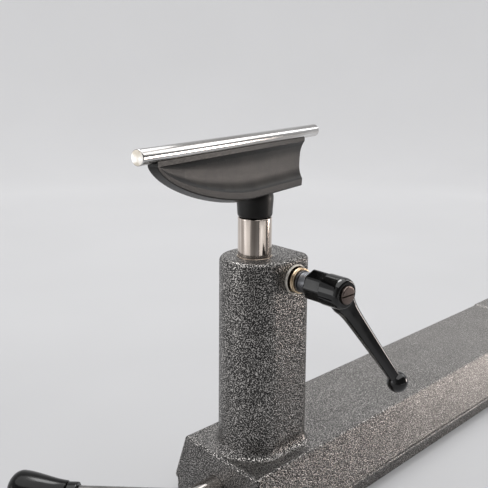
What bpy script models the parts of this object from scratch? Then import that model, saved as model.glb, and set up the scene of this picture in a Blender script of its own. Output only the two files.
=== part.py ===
"""Wood-lathe tool rest standing in its holder.

The holder is one iron casting: a long hollow arm that lies across the lathe bed, and an upright
column that is bored for the rest's post. An indexing lever at the top of the column draws two
brass cotters together on the post. An eccentric shaft along the arm, turned by the long lever
at the front, lifts a yoke whose foot takes the bolt of the clamp under the bed.

Frame: metres, +Z up, the arm runs along +X, the origin lies under the post on the arm's foot.
"""
import math

import bmesh
import bpy
from mathutils import Matrix, Vector

# Fits
GAP = 0.0003                  # between pieces that touch or run in each other
OVERRUN = 0.004               # cutters reach this far past the faces that they open
ROUND_STEPS = 36              # facets around a turned piece
SMALL_STEPS = 24              # facets around a small hole or screw

# Post of the tool rest
POST_R = 0.0127
POST_LENGTH = 0.1445
POST_SHOWN = 0.0297           # post above the column
POST_CHAMFER = 0.0008
SPIGOT_R = 0.008
SPIGOT_LENGTH = 0.020

# Bar of the tool rest, placed from the post
REST_TURN = 0.23              # radians, from the arm's direction
BAR_R = 0.00476
BAR_LENGTH = 0.2032
BAR_RIGHT = 0.0678            # right end of the bar
BAR_CHAMFER = 0.0006
BAR_FRONT = 0.0105            # bar's axis in front of the post's axis

# Casting between the bar and the post
BLADE_LEFT_SHORT = 0.0126     # stops this far inside the bar's left end
BLADE_RIGHT_SHORT = 0.0212    # and this far inside its right end
BLADE_FLAT_LEFT = -0.020      # its lower edge curves up from here to the left
BLADE_CURVE = 1.5             # exponent of that curve, 2 being an ellipse
BLADE_DEPTH = 0.0435          # from the bar's axis to the foot of the casting
BLADE_BACK = 0.0070           # back face behind the bar's axis, at the foot
SEAT_DEPTH = 0.0021           # top of the casting under the bar's axis
NECK_INSET = 0.00086          # neck under the bar, narrower than the bar on each side
NECK_DROP = 0.0015            # neck under the bar's lower side
COVE_DEPTH = 0.0029           # hollow of the front face
COVE_STEPS = 8
LIP_REACH = 0.0026            # lip in front of the bar's axis
LIP_HEIGHT = 0.0056
LIP_RISE = 0.0028             # lip's lower edge above the foot of the casting
LIP_ROUND = 0.0009
LIP_LEAST = 0.4               # share of the lip that is left at the casting's left end
BOSS_LENGTH = 0.0151
BOSS_OVER = 0.0002            # boss wider than the post
BOSS_FLARE = 0.0009           # and wider again at its top
BOSS_FLARE_START = 0.006
BOSS_GROOVE = 0.0005          # dark joint between boss and post
BOSS_SHOULDER = 0.004         # height of the shoulder over the boss
BOSS_SHOULDER_IN = 0.001
BUTTRESS_DROP = 0.014         # top of the buttress behind the casting, under the bar's axis
BUTTRESS_TOP_R = 0.004
BUTTRESS_EDGE = 0.0015

# Column of the holder
COLUMN_HEIGHT = 0.1554        # above the arm
COLUMN_WALL = 0.0138          # round the post
COLUMN_BACK_WALL = 0.009      # behind the clamp's bore
COLUMN_CORNER_R = 0.009
COLUMN_TOP_R = 0.0040
COLUMN_FOOT_R = 0.006
COLUMN_DRAFT = 0.008          # widening per unit of height, going down
COLUMN_ROOT = 0.003           # column starts this far inside the arm
POST_FLOOR_RISE = 0.0076      # floor of the post's bore above the arm's top

# Arm of the holder
ARM_LENGTH = 0.5115
ARM_LEDGE = 0.00276           # arm in front of the column's foot fillet
ARM_ROOF = 0.010
ARM_WIDE_HALF = 0.0575        # half width at the belly
ARM_WIDE_Z = 0.012            # height of the belly
ARM_BELLY_R = 0.030
ARM_SIDE_LEAN = math.radians(22.7)
ARM_RIDGE_R = 0.003
ARM_END_R = 0.0025
PAD_LENGTH = 0.047            # raised pad at the far end of the arm
PAD_RISE = 0.002

# Hollow under the arm, with a groove along each wall for the guide plate
FRONT_BLOCK = 0.0865          # solid front of the arm
END_WALL = 0.020
SIDE_WALL = 0.0175            # at the foot
HOLLOW_TAPER = 0.010          # half width lost from foot to roof
ROOF_CLEAR = 0.00265          # over the yoke when it is lifted
GROOVE_DEPTH = 0.006
GROOVE_FLOOR = 0.0042

# Post clamp: stud through two cotters
STUD_R = 0.004
STUD_PITCH = 0.00125
CLAMP_DROP = 0.0162           # stud's axis below the column's top
CLAMP_BORE_WALL = 0.003       # left at the blind end of the bore
BORE_CHAMFER = 0.0017
COTTER_R = 0.00975
COTTER_PROUD = 0.00637        # outer cotter outside the column
COTTER_END_SPACE = 0.0025     # behind the inner cotter
COTTER_SPLIT = 0.004          # half of the space between the two cotters
COTTER_CHAMFER = 0.0008
COTTER_GROOVE = 0.0006
COTTER_GROOVE_AT = 0.0025     # from the outer end
WASHER_INSET = 0.00125        # washer smaller than the cotter
WASHER_T = 0.0016
WASHER_CHAMFER = 0.0003

# Indexing lever on the stud
NECK_LENGTH = 0.008           # insert between washer and hub
NECK_SHOULDER = 0.0005        # neck wider than the teeth
NECK_CHAMFER = 0.0005
INSERT_WALL = 0.0026
INSERT_BODY = 0.0165          # insert inside the hub
STUD_GRIP = 0.006             # stud past the neck
SCREW_FLOOR = 0.0015          # between the stud's hole and the screw's
TOOTH_COUNT = 16
TOOTH_DEPTH = 0.0009
TOOTH_RELIEF = 0.0001         # body of the insert under the tooth roots
LIFT = 0.0035                 # lever pulled out to index it
HUB_WALL = 0.0041             # outside the teeth
HUB_SKIRT = 0.0150            # faceted length
HUB_FACETS = 8
HUB_FACET_STEPS = 6           # points around each facet
HUB_FACET_DROP = 0.0007
HUB_EDGE = 0.0012
HUB_RIM = 0.0024              # round the screw's head
HUB_CHAMFER = 0.0035
HUB_SHOULDER = 0.0014         # last part of the rounded outer end
HUB_SHOULDER_IN = 0.0008
HUB_WEB = 0.003
WEB_CLEAR = 0.0015            # between insert and web
SPRING_SPACE = 0.0075         # between web and screw head
SPRING_WIRE_R = 0.0004
SPRING_TURNS = 2.75
SPRING_TURN_STEPS = 12
HEAD_R = 0.0068
HEAD_T = 0.005
HEAD_PROUD = 0.002
HEAD_EDGE = 0.0008
SCREW_R = 0.0028
SLOT_W = 0.0012
LEVER_REACH = 0.0968
LEVER_ANGLE = math.radians(-55.9)
LEVER_START = 0.004           # arm starts inside the hub, from its axis
LEVER_ROOT = 0.009            # arm's middle at the hub, from the hub's outer end
LEVER_RAKE = 0.0190           # ball further out than the root
LEVER_ROOT_SIZE = (0.0138, 0.0115)
LEVER_TIP_SIZE = (0.0082, 0.0072)
LEVER_BEVEL = 0.3             # share of the arm's thickness
BALL_R = 0.00815

# Eccentric shaft with its bushes and collar
SHAFT_Y = 0.003
SHAFT_R = 0.0118
SHAFT_CLEAR = 0.0031          # between the eccentric's lowest place and the guide plate's groove
SHAFT_REACH = 0.0395          # in front of the arm
SHAFT_CHAMFER = 0.001
JOURNAL_PAST = 0.0037         # front journal past the collar
CAM_THROW = 0.003
CAM_PHASE = math.radians(-55)
CAM_SHORT = 0.014             # eccentric stops in front of the hollow's end
CAM_RUNOUT = 0.004
TAIL_STEP = 0.001             # tail journal smaller than the eccentric
TAIL_SHORT = 0.002            # tail stops inside the arm's end
BUSH_WALL = 0.003
BUSH_LENGTH = 0.026
COLLAR_WALL = 0.0057
COLLAR_LENGTH = 0.010
COLLAR_CHAMFER = 0.0008
GRUB_R = 0.0025

# Lever of the eccentric shaft
ROD_AHEAD = 0.0135            # rod's axis in front of the arm
ROD_YAW = math.radians(131)
ROD_PITCH = math.radians(-2.5)
ROD_R = 0.006
ROD_SEAT = 0.003              # rod's inner end, from the shaft's axis
ROD_CHAMFER = 0.001
FERRULE_START = 0.100         # from the shaft's axis
FERRULE_LENGTH = 0.0085
FERRULE_R = 0.0088
FERRULE_CHAMFER = 0.0012
TANG_R = 0.004
TANG_LENGTH = 0.032
GRIP_LENGTH = 0.0480
GRIP_ROOT_R = 0.0096
GRIP_R = 0.0166
GRIP_EDGE = 0.0006
GRIP_BULGE_AT = 0.037         # widest place, from the grip's inner end
GRIP_EASE = 0.6               # share of the swell that eases in and out
GRIP_END_POWER = 0.8          # under 1, the outer end is fuller than an ellipse

# Yoke on the eccentric, and the plate that guides it along the arm
YOKE_AT = 0.200               # from the hollow's front
YOKE_LENGTH = 0.026
YOKE_WALL = 0.006
YOKE_PLAY = 0.00035
YOKE_FOOT = 0.002             # height of the foot at rest
YOKE_CORNER_R = 0.005
FOOT_HOLE_R = 0.0042
FOOT_HOLE_DEPTH = 0.007
PLATE_LENGTH = 0.050
PLATE_T = 0.0045
PLATE_CORNER_R = 0.002

# Plan of the column and the arm, from what the column holds
COLUMN_R = POST_R + COLUMN_WALL
CLAMP_X = POST_R + STUD_R + GAP
COLUMN_BACK = CLAMP_X + COTTER_R + GAP + COLUMN_BACK_WALL
ARM_FRONT = -(COLUMN_R + COLUMN_DRAFT * COLUMN_HEIGHT + COLUMN_FOOT_R + ARM_LEDGE)
ARM_END = ARM_FRONT + ARM_LENGTH
HOLLOW_FRONT = ARM_FRONT + FRONT_BLOCK
HOLLOW_BACK = ARM_END - END_WALL
HOLLOW_FOOT_HALF = ARM_WIDE_HALF - SIDE_WALL
HOLLOW_TOP_HALF = HOLLOW_FOOT_HALF - HOLLOW_TAPER
GROOVE_HALF = HOLLOW_FOOT_HALF + GROOVE_DEPTH

# Heights, from the guide plate up to the bar
PLATE_LOW = GROOVE_FLOOR + GAP
GROOVE_TOP = PLATE_LOW + PLATE_T + GAP
CAM_R = SHAFT_R - CAM_THROW - GAP
CAM_SWEEP = CAM_R + CAM_THROW
SHAFT_Z = GROOVE_TOP + SHAFT_CLEAR + CAM_SWEEP
HOLLOW_TOP = SHAFT_Z + CAM_SWEEP + YOKE_PLAY + YOKE_WALL + ROOF_CLEAR
ARM_TOP = HOLLOW_TOP + ARM_ROOF
COLUMN_TOP = ARM_TOP + COLUMN_HEIGHT
CLAMP_Z = COLUMN_TOP - CLAMP_DROP
POST_FLOOR = ARM_TOP + POST_FLOOR_RISE
POST_TOP = COLUMN_TOP + POST_SHOWN
POST_BOTTOM = POST_TOP - POST_LENGTH
BLADE_FOOT = POST_TOP + BOSS_LENGTH
BAR_Z = BLADE_FOOT + BLADE_DEPTH

# Places along the bar, and sections under it
BAR_LEFT = BAR_RIGHT - BAR_LENGTH
BLADE_LEFT = BAR_LEFT + BLADE_LEFT_SHORT
BLADE_RIGHT = BAR_RIGHT - BLADE_RIGHT_SHORT
NECK_HALF = BAR_R - NECK_INSET
NECK_DEPTH = BAR_R + NECK_DROP
BOSS_R = POST_R + BOSS_OVER
BOSS_TOP_R = BOSS_R + BOSS_FLARE

# Places along the stud, outwards from the column's middle plane
CLAMP_FACE = COLUMN_R + COLUMN_DRAFT * CLAMP_DROP
CLAMP_BORE_R = COTTER_R + GAP
CLAMP_BORE_FLOOR = COLUMN_R - CLAMP_BORE_WALL
COTTER_OUT = CLAMP_FACE + COTTER_PROUD
COTTER_IN = CLAMP_BORE_FLOOR - COTTER_END_SPACE
STUD_BORE_R = STUD_R + GAP
WASHER_R = COTTER_R - WASHER_INSET
WASHER_IN = COTTER_OUT + GAP
INSERT_IN = WASHER_IN + WASHER_T + GAP
NECK_OUT = INSERT_IN + NECK_LENGTH
STUD_END = NECK_OUT + STUD_GRIP
SCREW_HOLE_END = STUD_END + SCREW_FLOOR
HUB_IN = NECK_OUT + GAP
TOOTH_LENGTH = LIFT - GAP
TOOTH_OUT = HUB_IN + TOOTH_LENGTH
INSERT_OUT = HUB_IN + INSERT_BODY
WEB_IN = INSERT_OUT + WEB_CLEAR
WEB_OUT = WEB_IN + HUB_WEB
HEAD_IN = WEB_OUT + SPRING_SPACE
HEAD_OUT = HEAD_IN + HEAD_T
HUB_OUT = HEAD_OUT - HEAD_PROUD
TOOTH_ROOT_R = STUD_R + INSERT_WALL
TOOTH_TIP_R = TOOTH_ROOT_R + TOOTH_DEPTH
NECK_R = TOOTH_TIP_R + NECK_SHOULDER
HUB_R = TOOTH_TIP_R + HUB_WALL
HUB_MOUTH_R = HEAD_R + HUB_RIM

# Places along the eccentric shaft and its lever
SHAFT_FRONT = ARM_FRONT - SHAFT_REACH
SHAFT_BORE_R = SHAFT_R + GAP
BUSH_R = SHAFT_BORE_R + BUSH_WALL
BUSH_SEAT = HOLLOW_FRONT - BUSH_LENGTH
COLLAR_LOW = HOLLOW_FRONT + GAP
COLLAR_HIGH = COLLAR_LOW + COLLAR_LENGTH
COLLAR_R = SHAFT_R + COLLAR_WALL
JOURNAL_END = COLLAR_HIGH + JOURNAL_PAST
CAM_END = HOLLOW_BACK - CAM_SHORT
CAM_Y = CAM_THROW * math.cos(CAM_PHASE)
CAM_Z = CAM_THROW * math.sin(CAM_PHASE)
TAIL_R = CAM_R - TAIL_STEP
TAIL_END = ARM_END - TAIL_SHORT
TAIL_BUSH_R = TAIL_R + GAP + BUSH_WALL
ROD_AT = ARM_FRONT - ROD_AHEAD
GRIP_START = FERRULE_START + FERRULE_LENGTH + GAP
TANG_END = GRIP_START + TANG_LENGTH
YOKE_X = HOLLOW_FRONT + YOKE_AT
YOKE_HOLE_HALF = CAM_R + YOKE_PLAY
YOKE_HALF = CAM_SWEEP + YOKE_PLAY + YOKE_WALL


def clear_scene():
    for obj in list(bpy.data.objects):
        bpy.data.objects.remove(obj)


def new_collection(name):
    collection = bpy.data.collections.new(name)
    bpy.context.scene.collection.children.link(collection)
    return collection


clear_scene()
PIECES = new_collection("tool_rest_and_holder")
CUTTERS = new_collection("cutters")


def material(name, color, roughness, metallic):
    paint = bpy.data.materials.new(name)
    paint.use_nodes = True
    shader = paint.node_tree.nodes["Principled BSDF"]
    shader.inputs["Base Color"].default_value = (*color, 1.0)
    shader.inputs["Roughness"].default_value = roughness
    shader.inputs["Metallic"].default_value = metallic
    return paint


def axis_empty(name, location, rotation=None):
    """Empty on a joint's axis, which carries the pieces that move about it."""
    empty = bpy.data.objects.new(name, None)
    empty.matrix_world = Matrix.Translation(location) @ (rotation or Matrix.Identity(4))
    PIECES.objects.link(empty)
    return empty


def piece(name, mesh, paint, carrier=None):
    obj = bpy.data.objects.new(name, mesh)
    mesh.materials.append(paint)
    mesh.shade_smooth()
    mesh.set_sharp_from_angle(angle=math.radians(35))
    obj.parent = carrier
    PIECES.objects.link(obj)
    return obj


def cutter(name, mesh, carrier=None):
    obj = bpy.data.objects.new(name, mesh)
    obj.parent = carrier
    obj.hide_render = True
    obj.display_type = 'WIRE'
    CUTTERS.objects.link(obj)
    return obj


def combine(obj, other, operation):
    modifier = obj.modifiers.new(other.name, 'BOOLEAN')
    modifier.operation = operation
    modifier.solver = 'EXACT'
    modifier.object = other


def turn(obj, steps=ROUND_STEPS):
    """Screw modifier that sweeps the object's profile about its own Z."""
    modifier = obj.modifiers.new("turn", 'SCREW')
    modifier.steps = steps
    modifier.render_steps = steps
    modifier.use_merge_vertices = True
    modifier.merge_threshold = 0.00001
    modifier.use_smooth_shade = True
    return obj


def profile(name, points, closed=False):
    """Line of (radius, height) points for a turned piece, top to bottom on the outer side."""
    mesh = bpy.data.meshes.new(name)
    edges = [(i, i + 1) for i in range(len(points) - 1)]
    if closed:
        edges.append((len(points) - 1, 0))
    mesh.from_pydata([(r, 0.0, h) for r, h in points], edges, [])
    return mesh


def ring_profile(name, outer, inner, low, high, chamfer=0.0):
    """Turned ring of plain section, with its outer corners taken off."""
    points = [(inner, high), (outer, high), (outer, low), (inner, low)]
    if chamfer:
        points[1:3] = [(outer - chamfer, high), (outer, high - chamfer),
                       (outer, low + chamfer), (outer - chamfer, low)]
    return profile(name, points, closed=True)


def finish_mesh(name, bm):
    bmesh.ops.recalc_face_normals(bm, faces=bm.faces)
    mesh = bpy.data.meshes.new(name)
    bm.to_mesh(mesh)
    bm.free()
    return mesh


def cylinder(name, radius, low, high, matrix=None, steps=ROUND_STEPS):
    """Cylinder along its own Z between two heights."""
    bm = bmesh.new()
    place = (matrix or Matrix.Identity(4)) @ Matrix.Translation((0, 0, (low + high) / 2))
    bmesh.ops.create_cone(bm, cap_ends=True, segments=steps, radius1=radius, radius2=radius,
                          depth=high - low, matrix=place)
    return finish_mesh(name, bm)


def box(name, low, high):
    bm = bmesh.new()
    bmesh.ops.create_cube(bm, size=1.0)
    low, high = Vector(low), Vector(high)
    for vert in bm.verts:
        for i in range(3):
            vert.co[i] = low[i] + (vert.co[i] + 0.5) * (high[i] - low[i])
    return finish_mesh(name, bm)


def loft(name, rings):
    """Closed body through rings with like numbers of points, capped at both ends."""
    bm = bmesh.new()
    loops = [[bm.verts.new(point) for point in ring] for ring in rings]
    for low, high in zip(loops, loops[1:]):
        for i in range(len(low)):
            j = (i + 1) % len(low)
            bm.faces.new((low[i], low[j], high[j], high[i]))
    bm.faces.new(list(reversed(loops[0])))
    bm.faces.new(loops[-1])
    return finish_mesh(name, bm)


def extrude(name, outlines, low, high):
    """Flat outlines drawn out along Z; outlines inside another are holes."""
    curve = bpy.data.curves.new(name, 'CURVE')
    curve.dimensions = '2D'
    curve.fill_mode = 'BOTH'
    curve.extrude = (high - low) / 2
    for outline in outlines:
        spline = curve.splines.new('POLY')
        spline.points.add(len(outline) - 1)
        for point, (x, y) in zip(spline.points, outline):
            point.co = (x, y, 0.0, 1.0)
        spline.use_cyclic_u = True
    flat = bpy.data.objects.new(name, curve)
    bpy.context.scene.collection.objects.link(flat)
    evaluated = flat.evaluated_get(bpy.context.evaluated_depsgraph_get())
    mesh = bpy.data.meshes.new_from_object(evaluated)
    bpy.data.objects.remove(flat)
    bm = bmesh.new()
    bm.from_mesh(mesh)
    bmesh.ops.remove_doubles(bm, verts=bm.verts, dist=0.000001)
    bmesh.ops.translate(bm, verts=bm.verts, vec=(0, 0, (low + high) / 2))
    bpy.data.meshes.remove(mesh)
    return finish_mesh(name, bm)


def arc(x, y, radius, start, end, count):
    """Points along an arc, both ends included."""
    angles = [start + (end - start) * i / count for i in range(count + 1)]
    return [(x + radius * math.cos(a), y + radius * math.sin(a)) for a in angles]


def circle(x, y, radius, count):
    return arc(x, y, radius, 0.0, 2 * math.pi * (count - 1) / count, count - 1)


def rounded_box(x0, y0, x1, y1, radius, count=4):
    """Rectangle with round corners, anticlockwise."""
    corners = [(x1 - radius, y0 + radius, -90), (x1 - radius, y1 - radius, 0),
               (x0 + radius, y1 - radius, 90), (x0 + radius, y0 + radius, 180)]
    points = []
    for x, y, start in corners:
        points += arc(x, y, radius, math.radians(start), math.radians(start + 90), count)
    return points


def between(low, high, share):
    return low + (high - low) * share


def tilt(axis, degrees):
    return Matrix.Rotation(math.radians(degrees), 4, axis)


# Finishes, from the photograph
HAMMERED = material("hammered_grey_paint", (0.10, 0.10, 0.10), 0.45, 0.3)
SATIN_BLACK = material("satin_black_paint", (0.02, 0.02, 0.02), 0.5, 0.0)
GROUND_STEEL = material("ground_steel", (0.70, 0.68, 0.66), 0.25, 1.0)
GLOSS_BLACK = material("gloss_black_coating", (0.01, 0.01, 0.01), 0.15, 0.0)
BRASS = material("brass", (0.72, 0.52, 0.28), 0.3, 1.0)
DARK_STEEL = material("dark_steel", (0.20, 0.19, 0.18), 0.4, 1.0)
BRONZE = material("bronze", (0.55, 0.38, 0.20), 0.4, 1.0)

# Carriers on the joint axes
OUTWARD = tilt('X', 90)                   # own Z points out of the column's side, own Y up
ALONG = tilt('Y', 90)                     # own Z points along the arm
FACING = tilt('Z', 90) @ tilt('X', 90)    # own Y points up, own Z along the arm
CLAMP_PLACE = (CLAMP_X, 0, CLAMP_Z)
post_axis = axis_empty("post_axis", (0, 0, 0))
rest_axis = axis_empty("rest_axis", (0, 0, 0), Matrix.Rotation(REST_TURN, 4, 'Z'))
clamp_axis = axis_empty("clamp_axis", CLAMP_PLACE, OUTWARD)
handle_axis = axis_empty("handle_axis", CLAMP_PLACE, OUTWARD)
shaft_axis = axis_empty("shaft_axis", (0, SHAFT_Y, SHAFT_Z), ALONG)
yoke_axis = axis_empty("yoke_axis", (YOKE_X, SHAFT_Y, SHAFT_Z + CAM_Z))
rod_way = Vector((math.cos(ROD_PITCH) * math.cos(ROD_YAW),
                  math.cos(ROD_PITCH) * math.sin(ROD_YAW),
                  math.sin(ROD_PITCH)))
ROD_TURN = rod_way.to_track_quat('Z', 'Y').to_matrix().to_4x4()
rod_axis = axis_empty("rod_axis", (ROD_AT, SHAFT_Y, SHAFT_Z), ROD_TURN)


# Holder casting

def arm_ring(x, inset, rise):
    """Outline of the arm across X, drawn in by inset on its sides and top."""
    belly_y = ARM_WIDE_HALF - ARM_BELLY_R
    belly_r = ARM_BELLY_R - inset
    foot_angle = -math.asin(ARM_WIDE_Z / belly_r)
    ridge_z = ARM_TOP + rise - ARM_RIDGE_R
    climb = (ridge_z - ARM_WIDE_Z) * math.sin(ARM_SIDE_LEAN)
    ridge_y = belly_y + (ARM_BELLY_R - ARM_RIDGE_R - climb) / math.cos(ARM_SIDE_LEAN)
    half = arc(belly_y, ARM_WIDE_Z, belly_r, foot_angle, ARM_SIDE_LEAN, 5)
    half += arc(ridge_y, ridge_z, ARM_RIDGE_R - inset, ARM_SIDE_LEAN, math.pi / 2, 4)
    return [(x, y, z) for y, z in half] + [(x, -y, z) for y, z in reversed(half)]


def arm_mesh():
    """The arm, with round edges at both ends and the raised pad at the far one."""
    turns = [math.radians(a) for a in (0, 30, 60, 90)]
    rounding = [(ARM_END_R * (1 - math.cos(a)), ARM_END_R * (1 - math.sin(a))) for a in turns]
    pad_start = ARM_END - PAD_LENGTH
    rings = [arm_ring(ARM_FRONT + step, inset, 0.0) for step, inset in rounding]
    rings.append(arm_ring(pad_start, 0.0, 0.0))
    rings.append(arm_ring(pad_start + PAD_RISE, 0.0, PAD_RISE))
    rings += [arm_ring(ARM_END - step, inset, PAD_RISE) for step, inset in reversed(rounding)]
    return loft("arm", rings)


def column_ring(z, grow):
    """Outline of the column at a height: round front, flat sides and back, round back corners."""
    grow += COLUMN_DRAFT * (COLUMN_TOP - z)
    radius = COLUMN_R + grow
    corner = COLUMN_CORNER_R + grow
    back = COLUMN_BACK + grow
    outline = arc(0.0, 0.0, radius, math.pi / 2, 3 * math.pi / 2, 24)
    outline += arc(back - corner, corner - radius, corner, -math.pi / 2, 0.0, 5)
    outline += arc(back - corner, radius - corner, corner, 0.0, math.pi / 2, 5)
    return [(x, y, z) for x, y in outline]


def column_mesh():
    """The column, from inside the arm's top, with its foot fillet and rounded top edge."""
    foot_turns = [math.radians(a) for a in (8, 25, 45, 67, 90)]
    top_turns = [math.radians(a) for a in (0, 22, 45, 67, 90)]
    fillet = [(COLUMN_FOOT_R * (1 - math.cos(a)), COLUMN_FOOT_R * (1 - math.sin(a)))
              for a in foot_turns]
    rings = [column_ring(ARM_TOP - COLUMN_ROOT, fillet[0][1])]
    rings += [column_ring(ARM_TOP + rise, grow) for rise, grow in fillet]
    for a in top_turns:
        height = COLUMN_TOP - COLUMN_TOP_R * (1 - math.sin(a))
        rings.append(column_ring(height, -COLUMN_TOP_R * (1 - math.cos(a))))
    return loft("column", rings)


def clamp_bore_mesh():
    """Blind bore across the column, opening in a chamfer on its side."""
    mouth_z = CLAMP_FACE + OVERRUN
    points = [(0.0, mouth_z), (CLAMP_BORE_R + BORE_CHAMFER + OVERRUN, mouth_z),
              (CLAMP_BORE_R, CLAMP_FACE - BORE_CHAMFER), (CLAMP_BORE_R, -CLAMP_BORE_FLOOR),
              (0.0, -CLAMP_BORE_FLOOR)]
    return profile("clamp_bore", points)


def hollow_mesh():
    """Space under the arm, seen across X and drawn out along it."""
    spread = HOLLOW_TAPER / HOLLOW_TOP
    foot = HOLLOW_FOOT_HALF + spread * OVERRUN
    outline = [(OVERRUN, foot), (-HOLLOW_TOP, HOLLOW_TOP_HALF),
               (-HOLLOW_TOP, -HOLLOW_TOP_HALF), (OVERRUN, -foot)]
    return extrude("hollow", [outline], HOLLOW_FRONT, HOLLOW_BACK)


def shaft_bore(name, radius, low, high):
    return cutter(name, cylinder(name, radius, low, high), shaft_axis)


hollow = cutter("hollow", hollow_mesh())
hollow.matrix_world = ALONG
grooves = box("grooves", (HOLLOW_FRONT, -GROOVE_HALF, GROOVE_FLOOR),
              (HOLLOW_BACK, GROOVE_HALF, GROOVE_TOP))
notch_end = HOLLOW_FRONT + PLATE_LENGTH + 4 * GAP
plate_notch = box("plate_notch", (HOLLOW_FRONT, -GROOVE_HALF, -OVERRUN),
                  (notch_end, GROOVE_HALF, GROOVE_TOP - GAP))
post_bore = cylinder("post_bore", POST_R + GAP, POST_FLOOR, COLUMN_TOP + OVERRUN)
banjo = piece("banjo_casting", arm_mesh(), HAMMERED)
combine(banjo, cutter("column", column_mesh()), 'UNION')
for cut in (hollow, cutter("grooves", grooves), cutter("plate_notch", plate_notch),
            cutter("post_bore", post_bore), turn(cutter("clamp_bore", clamp_bore_mesh(), clamp_axis)),
            shaft_bore("shaft_bore", SHAFT_BORE_R, ARM_FRONT - OVERRUN, HOLLOW_FRONT + OVERRUN),
            shaft_bore("front_bush_seat", BUSH_R + GAP, BUSH_SEAT, HOLLOW_FRONT + OVERRUN),
            shaft_bore("tail_bush_seat", TAIL_BUSH_R + GAP, HOLLOW_BACK - OVERRUN, ARM_END + OVERRUN)):
    combine(banjo, cut, 'DIFFERENCE')


# Tool rest: ground bar, casting under it, post

def bar_mesh():
    end_r = BAR_R - BAR_CHAMFER
    points = [(0.0, BAR_RIGHT), (end_r, BAR_RIGHT), (BAR_R, BAR_RIGHT - BAR_CHAMFER),
              (BAR_R, BAR_LEFT + BAR_CHAMFER), (end_r, BAR_LEFT), (0.0, BAR_LEFT)]
    return profile("tool_rest_bar", points)


def blade_share(along):
    """Depth of the casting under the bar at a place along it, as a share of its full depth."""
    reach = max(BLADE_FLAT_LEFT - along, 0.0) / (BLADE_FLAT_LEFT - BLADE_LEFT)
    return (1 - min(reach, 1.0) ** BLADE_CURVE) ** (1 / BLADE_CURVE)


def blade_ring(along):
    """Section of the casting across the bar: coved front, lip at the foot, plain back."""
    share = blade_share(along)
    lip_share = between(LIP_LEAST, 1.0, share)
    depth = between(NECK_DEPTH, BLADE_DEPTH, share)
    lip_low = depth - LIP_RISE * share
    lip_top = max(lip_low - LIP_HEIGHT * lip_share, NECK_DEPTH)
    front = between(NECK_HALF, LIP_REACH, share)
    back = between(NECK_HALF, BLADE_BACK, share)
    edge = LIP_ROUND * lip_share
    section = [(-NECK_HALF, SEAT_DEPTH)]
    for i in range(COVE_STEPS + 1):
        part = i / COVE_STEPS
        hollowed = COVE_DEPTH * share * math.sin(math.pi * part)
        section.append((hollowed - between(NECK_HALF, front, part), between(NECK_DEPTH, lip_top, part)))
    section += [(-front, lip_top + edge / 3), (-front + edge / 3, lip_low - edge)]
    section += [(-front + edge, lip_low), (back - edge, depth), (back, depth - edge)]
    section += [(NECK_HALF, NECK_DEPTH), (NECK_HALF, SEAT_DEPTH)]
    return [(along, n - BAR_FRONT, BAR_Z - d) for n, d in section]


def blade_mesh():
    """Casting under the bar, with closer sections where its lower edge curves."""
    sweep = BLADE_FLAT_LEFT - BLADE_LEFT
    turns = [math.radians(a) for a in (86, 78, 70, 60, 50, 40, 30, 20, 10, 0)]
    places = [BLADE_FLAT_LEFT - sweep * math.sin(a) for a in turns]
    places += [0.0, BLADE_RIGHT / 2, BLADE_RIGHT]
    return loft("tool_rest_casting", [blade_ring(along) for along in places])


def boss_mesh():
    """Boss that the post's spigot stands in, running up behind the casting as a buttress."""
    low = POST_TOP + BOSS_GROOVE
    top = BAR_Z - BUTTRESS_DROP
    points = [(0.0, top), (BUTTRESS_TOP_R - BUTTRESS_EDGE, top),
              (BUTTRESS_TOP_R, top - BUTTRESS_EDGE),
              ((BOSS_TOP_R + BUTTRESS_TOP_R) / 2, (BLADE_FOOT + top) / 2),
              (BOSS_TOP_R - BOSS_SHOULDER_IN, BLADE_FOOT + BOSS_SHOULDER), (BOSS_TOP_R, BLADE_FOOT),
              (between(BOSS_R, BOSS_TOP_R, 1 / 3), low + BOSS_FLARE_START), (BOSS_R, low), (0.0, low)]
    return profile("boss", points)


def post_mesh():
    top = POST_TOP + SPIGOT_LENGTH
    points = [(0.0, top), (SPIGOT_R - POST_CHAMFER, top), (SPIGOT_R, top - POST_CHAMFER),
              (SPIGOT_R, POST_TOP), (POST_R - POST_CHAMFER, POST_TOP),
              (POST_R, POST_TOP - POST_CHAMFER), (POST_R, POST_BOTTOM + POST_CHAMFER),
              (POST_R - POST_CHAMFER, POST_BOTTOM), (0.0, POST_BOTTOM)]
    return profile("tool_rest_post", points)


BAR_PLACE = Matrix.Translation((0, -BAR_FRONT, BAR_Z)) @ ALONG
bar = turn(piece("tool_rest_bar", bar_mesh(), GROUND_STEEL, rest_axis))
bar.matrix_local = BAR_PLACE
bar_seat = cutter("bar_seat", cylinder("bar_seat", BAR_R + GAP, BAR_LEFT, BAR_RIGHT), rest_axis)
bar_seat.matrix_local = BAR_PLACE
socket = cylinder("spigot_socket", SPIGOT_R + GAP, POST_TOP - OVERRUN, POST_TOP + SPIGOT_LENGTH + GAP)
blade = piece("tool_rest_casting", blade_mesh(), SATIN_BLACK, rest_axis)
combine(blade, turn(cutter("boss", boss_mesh(), rest_axis)), 'UNION')
combine(blade, bar_seat, 'DIFFERENCE')
combine(blade, cutter("spigot_socket", socket, rest_axis), 'DIFFERENCE')
turn(piece("tool_rest_post", post_mesh(), GROUND_STEEL, post_axis))


# Post clamp

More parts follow.
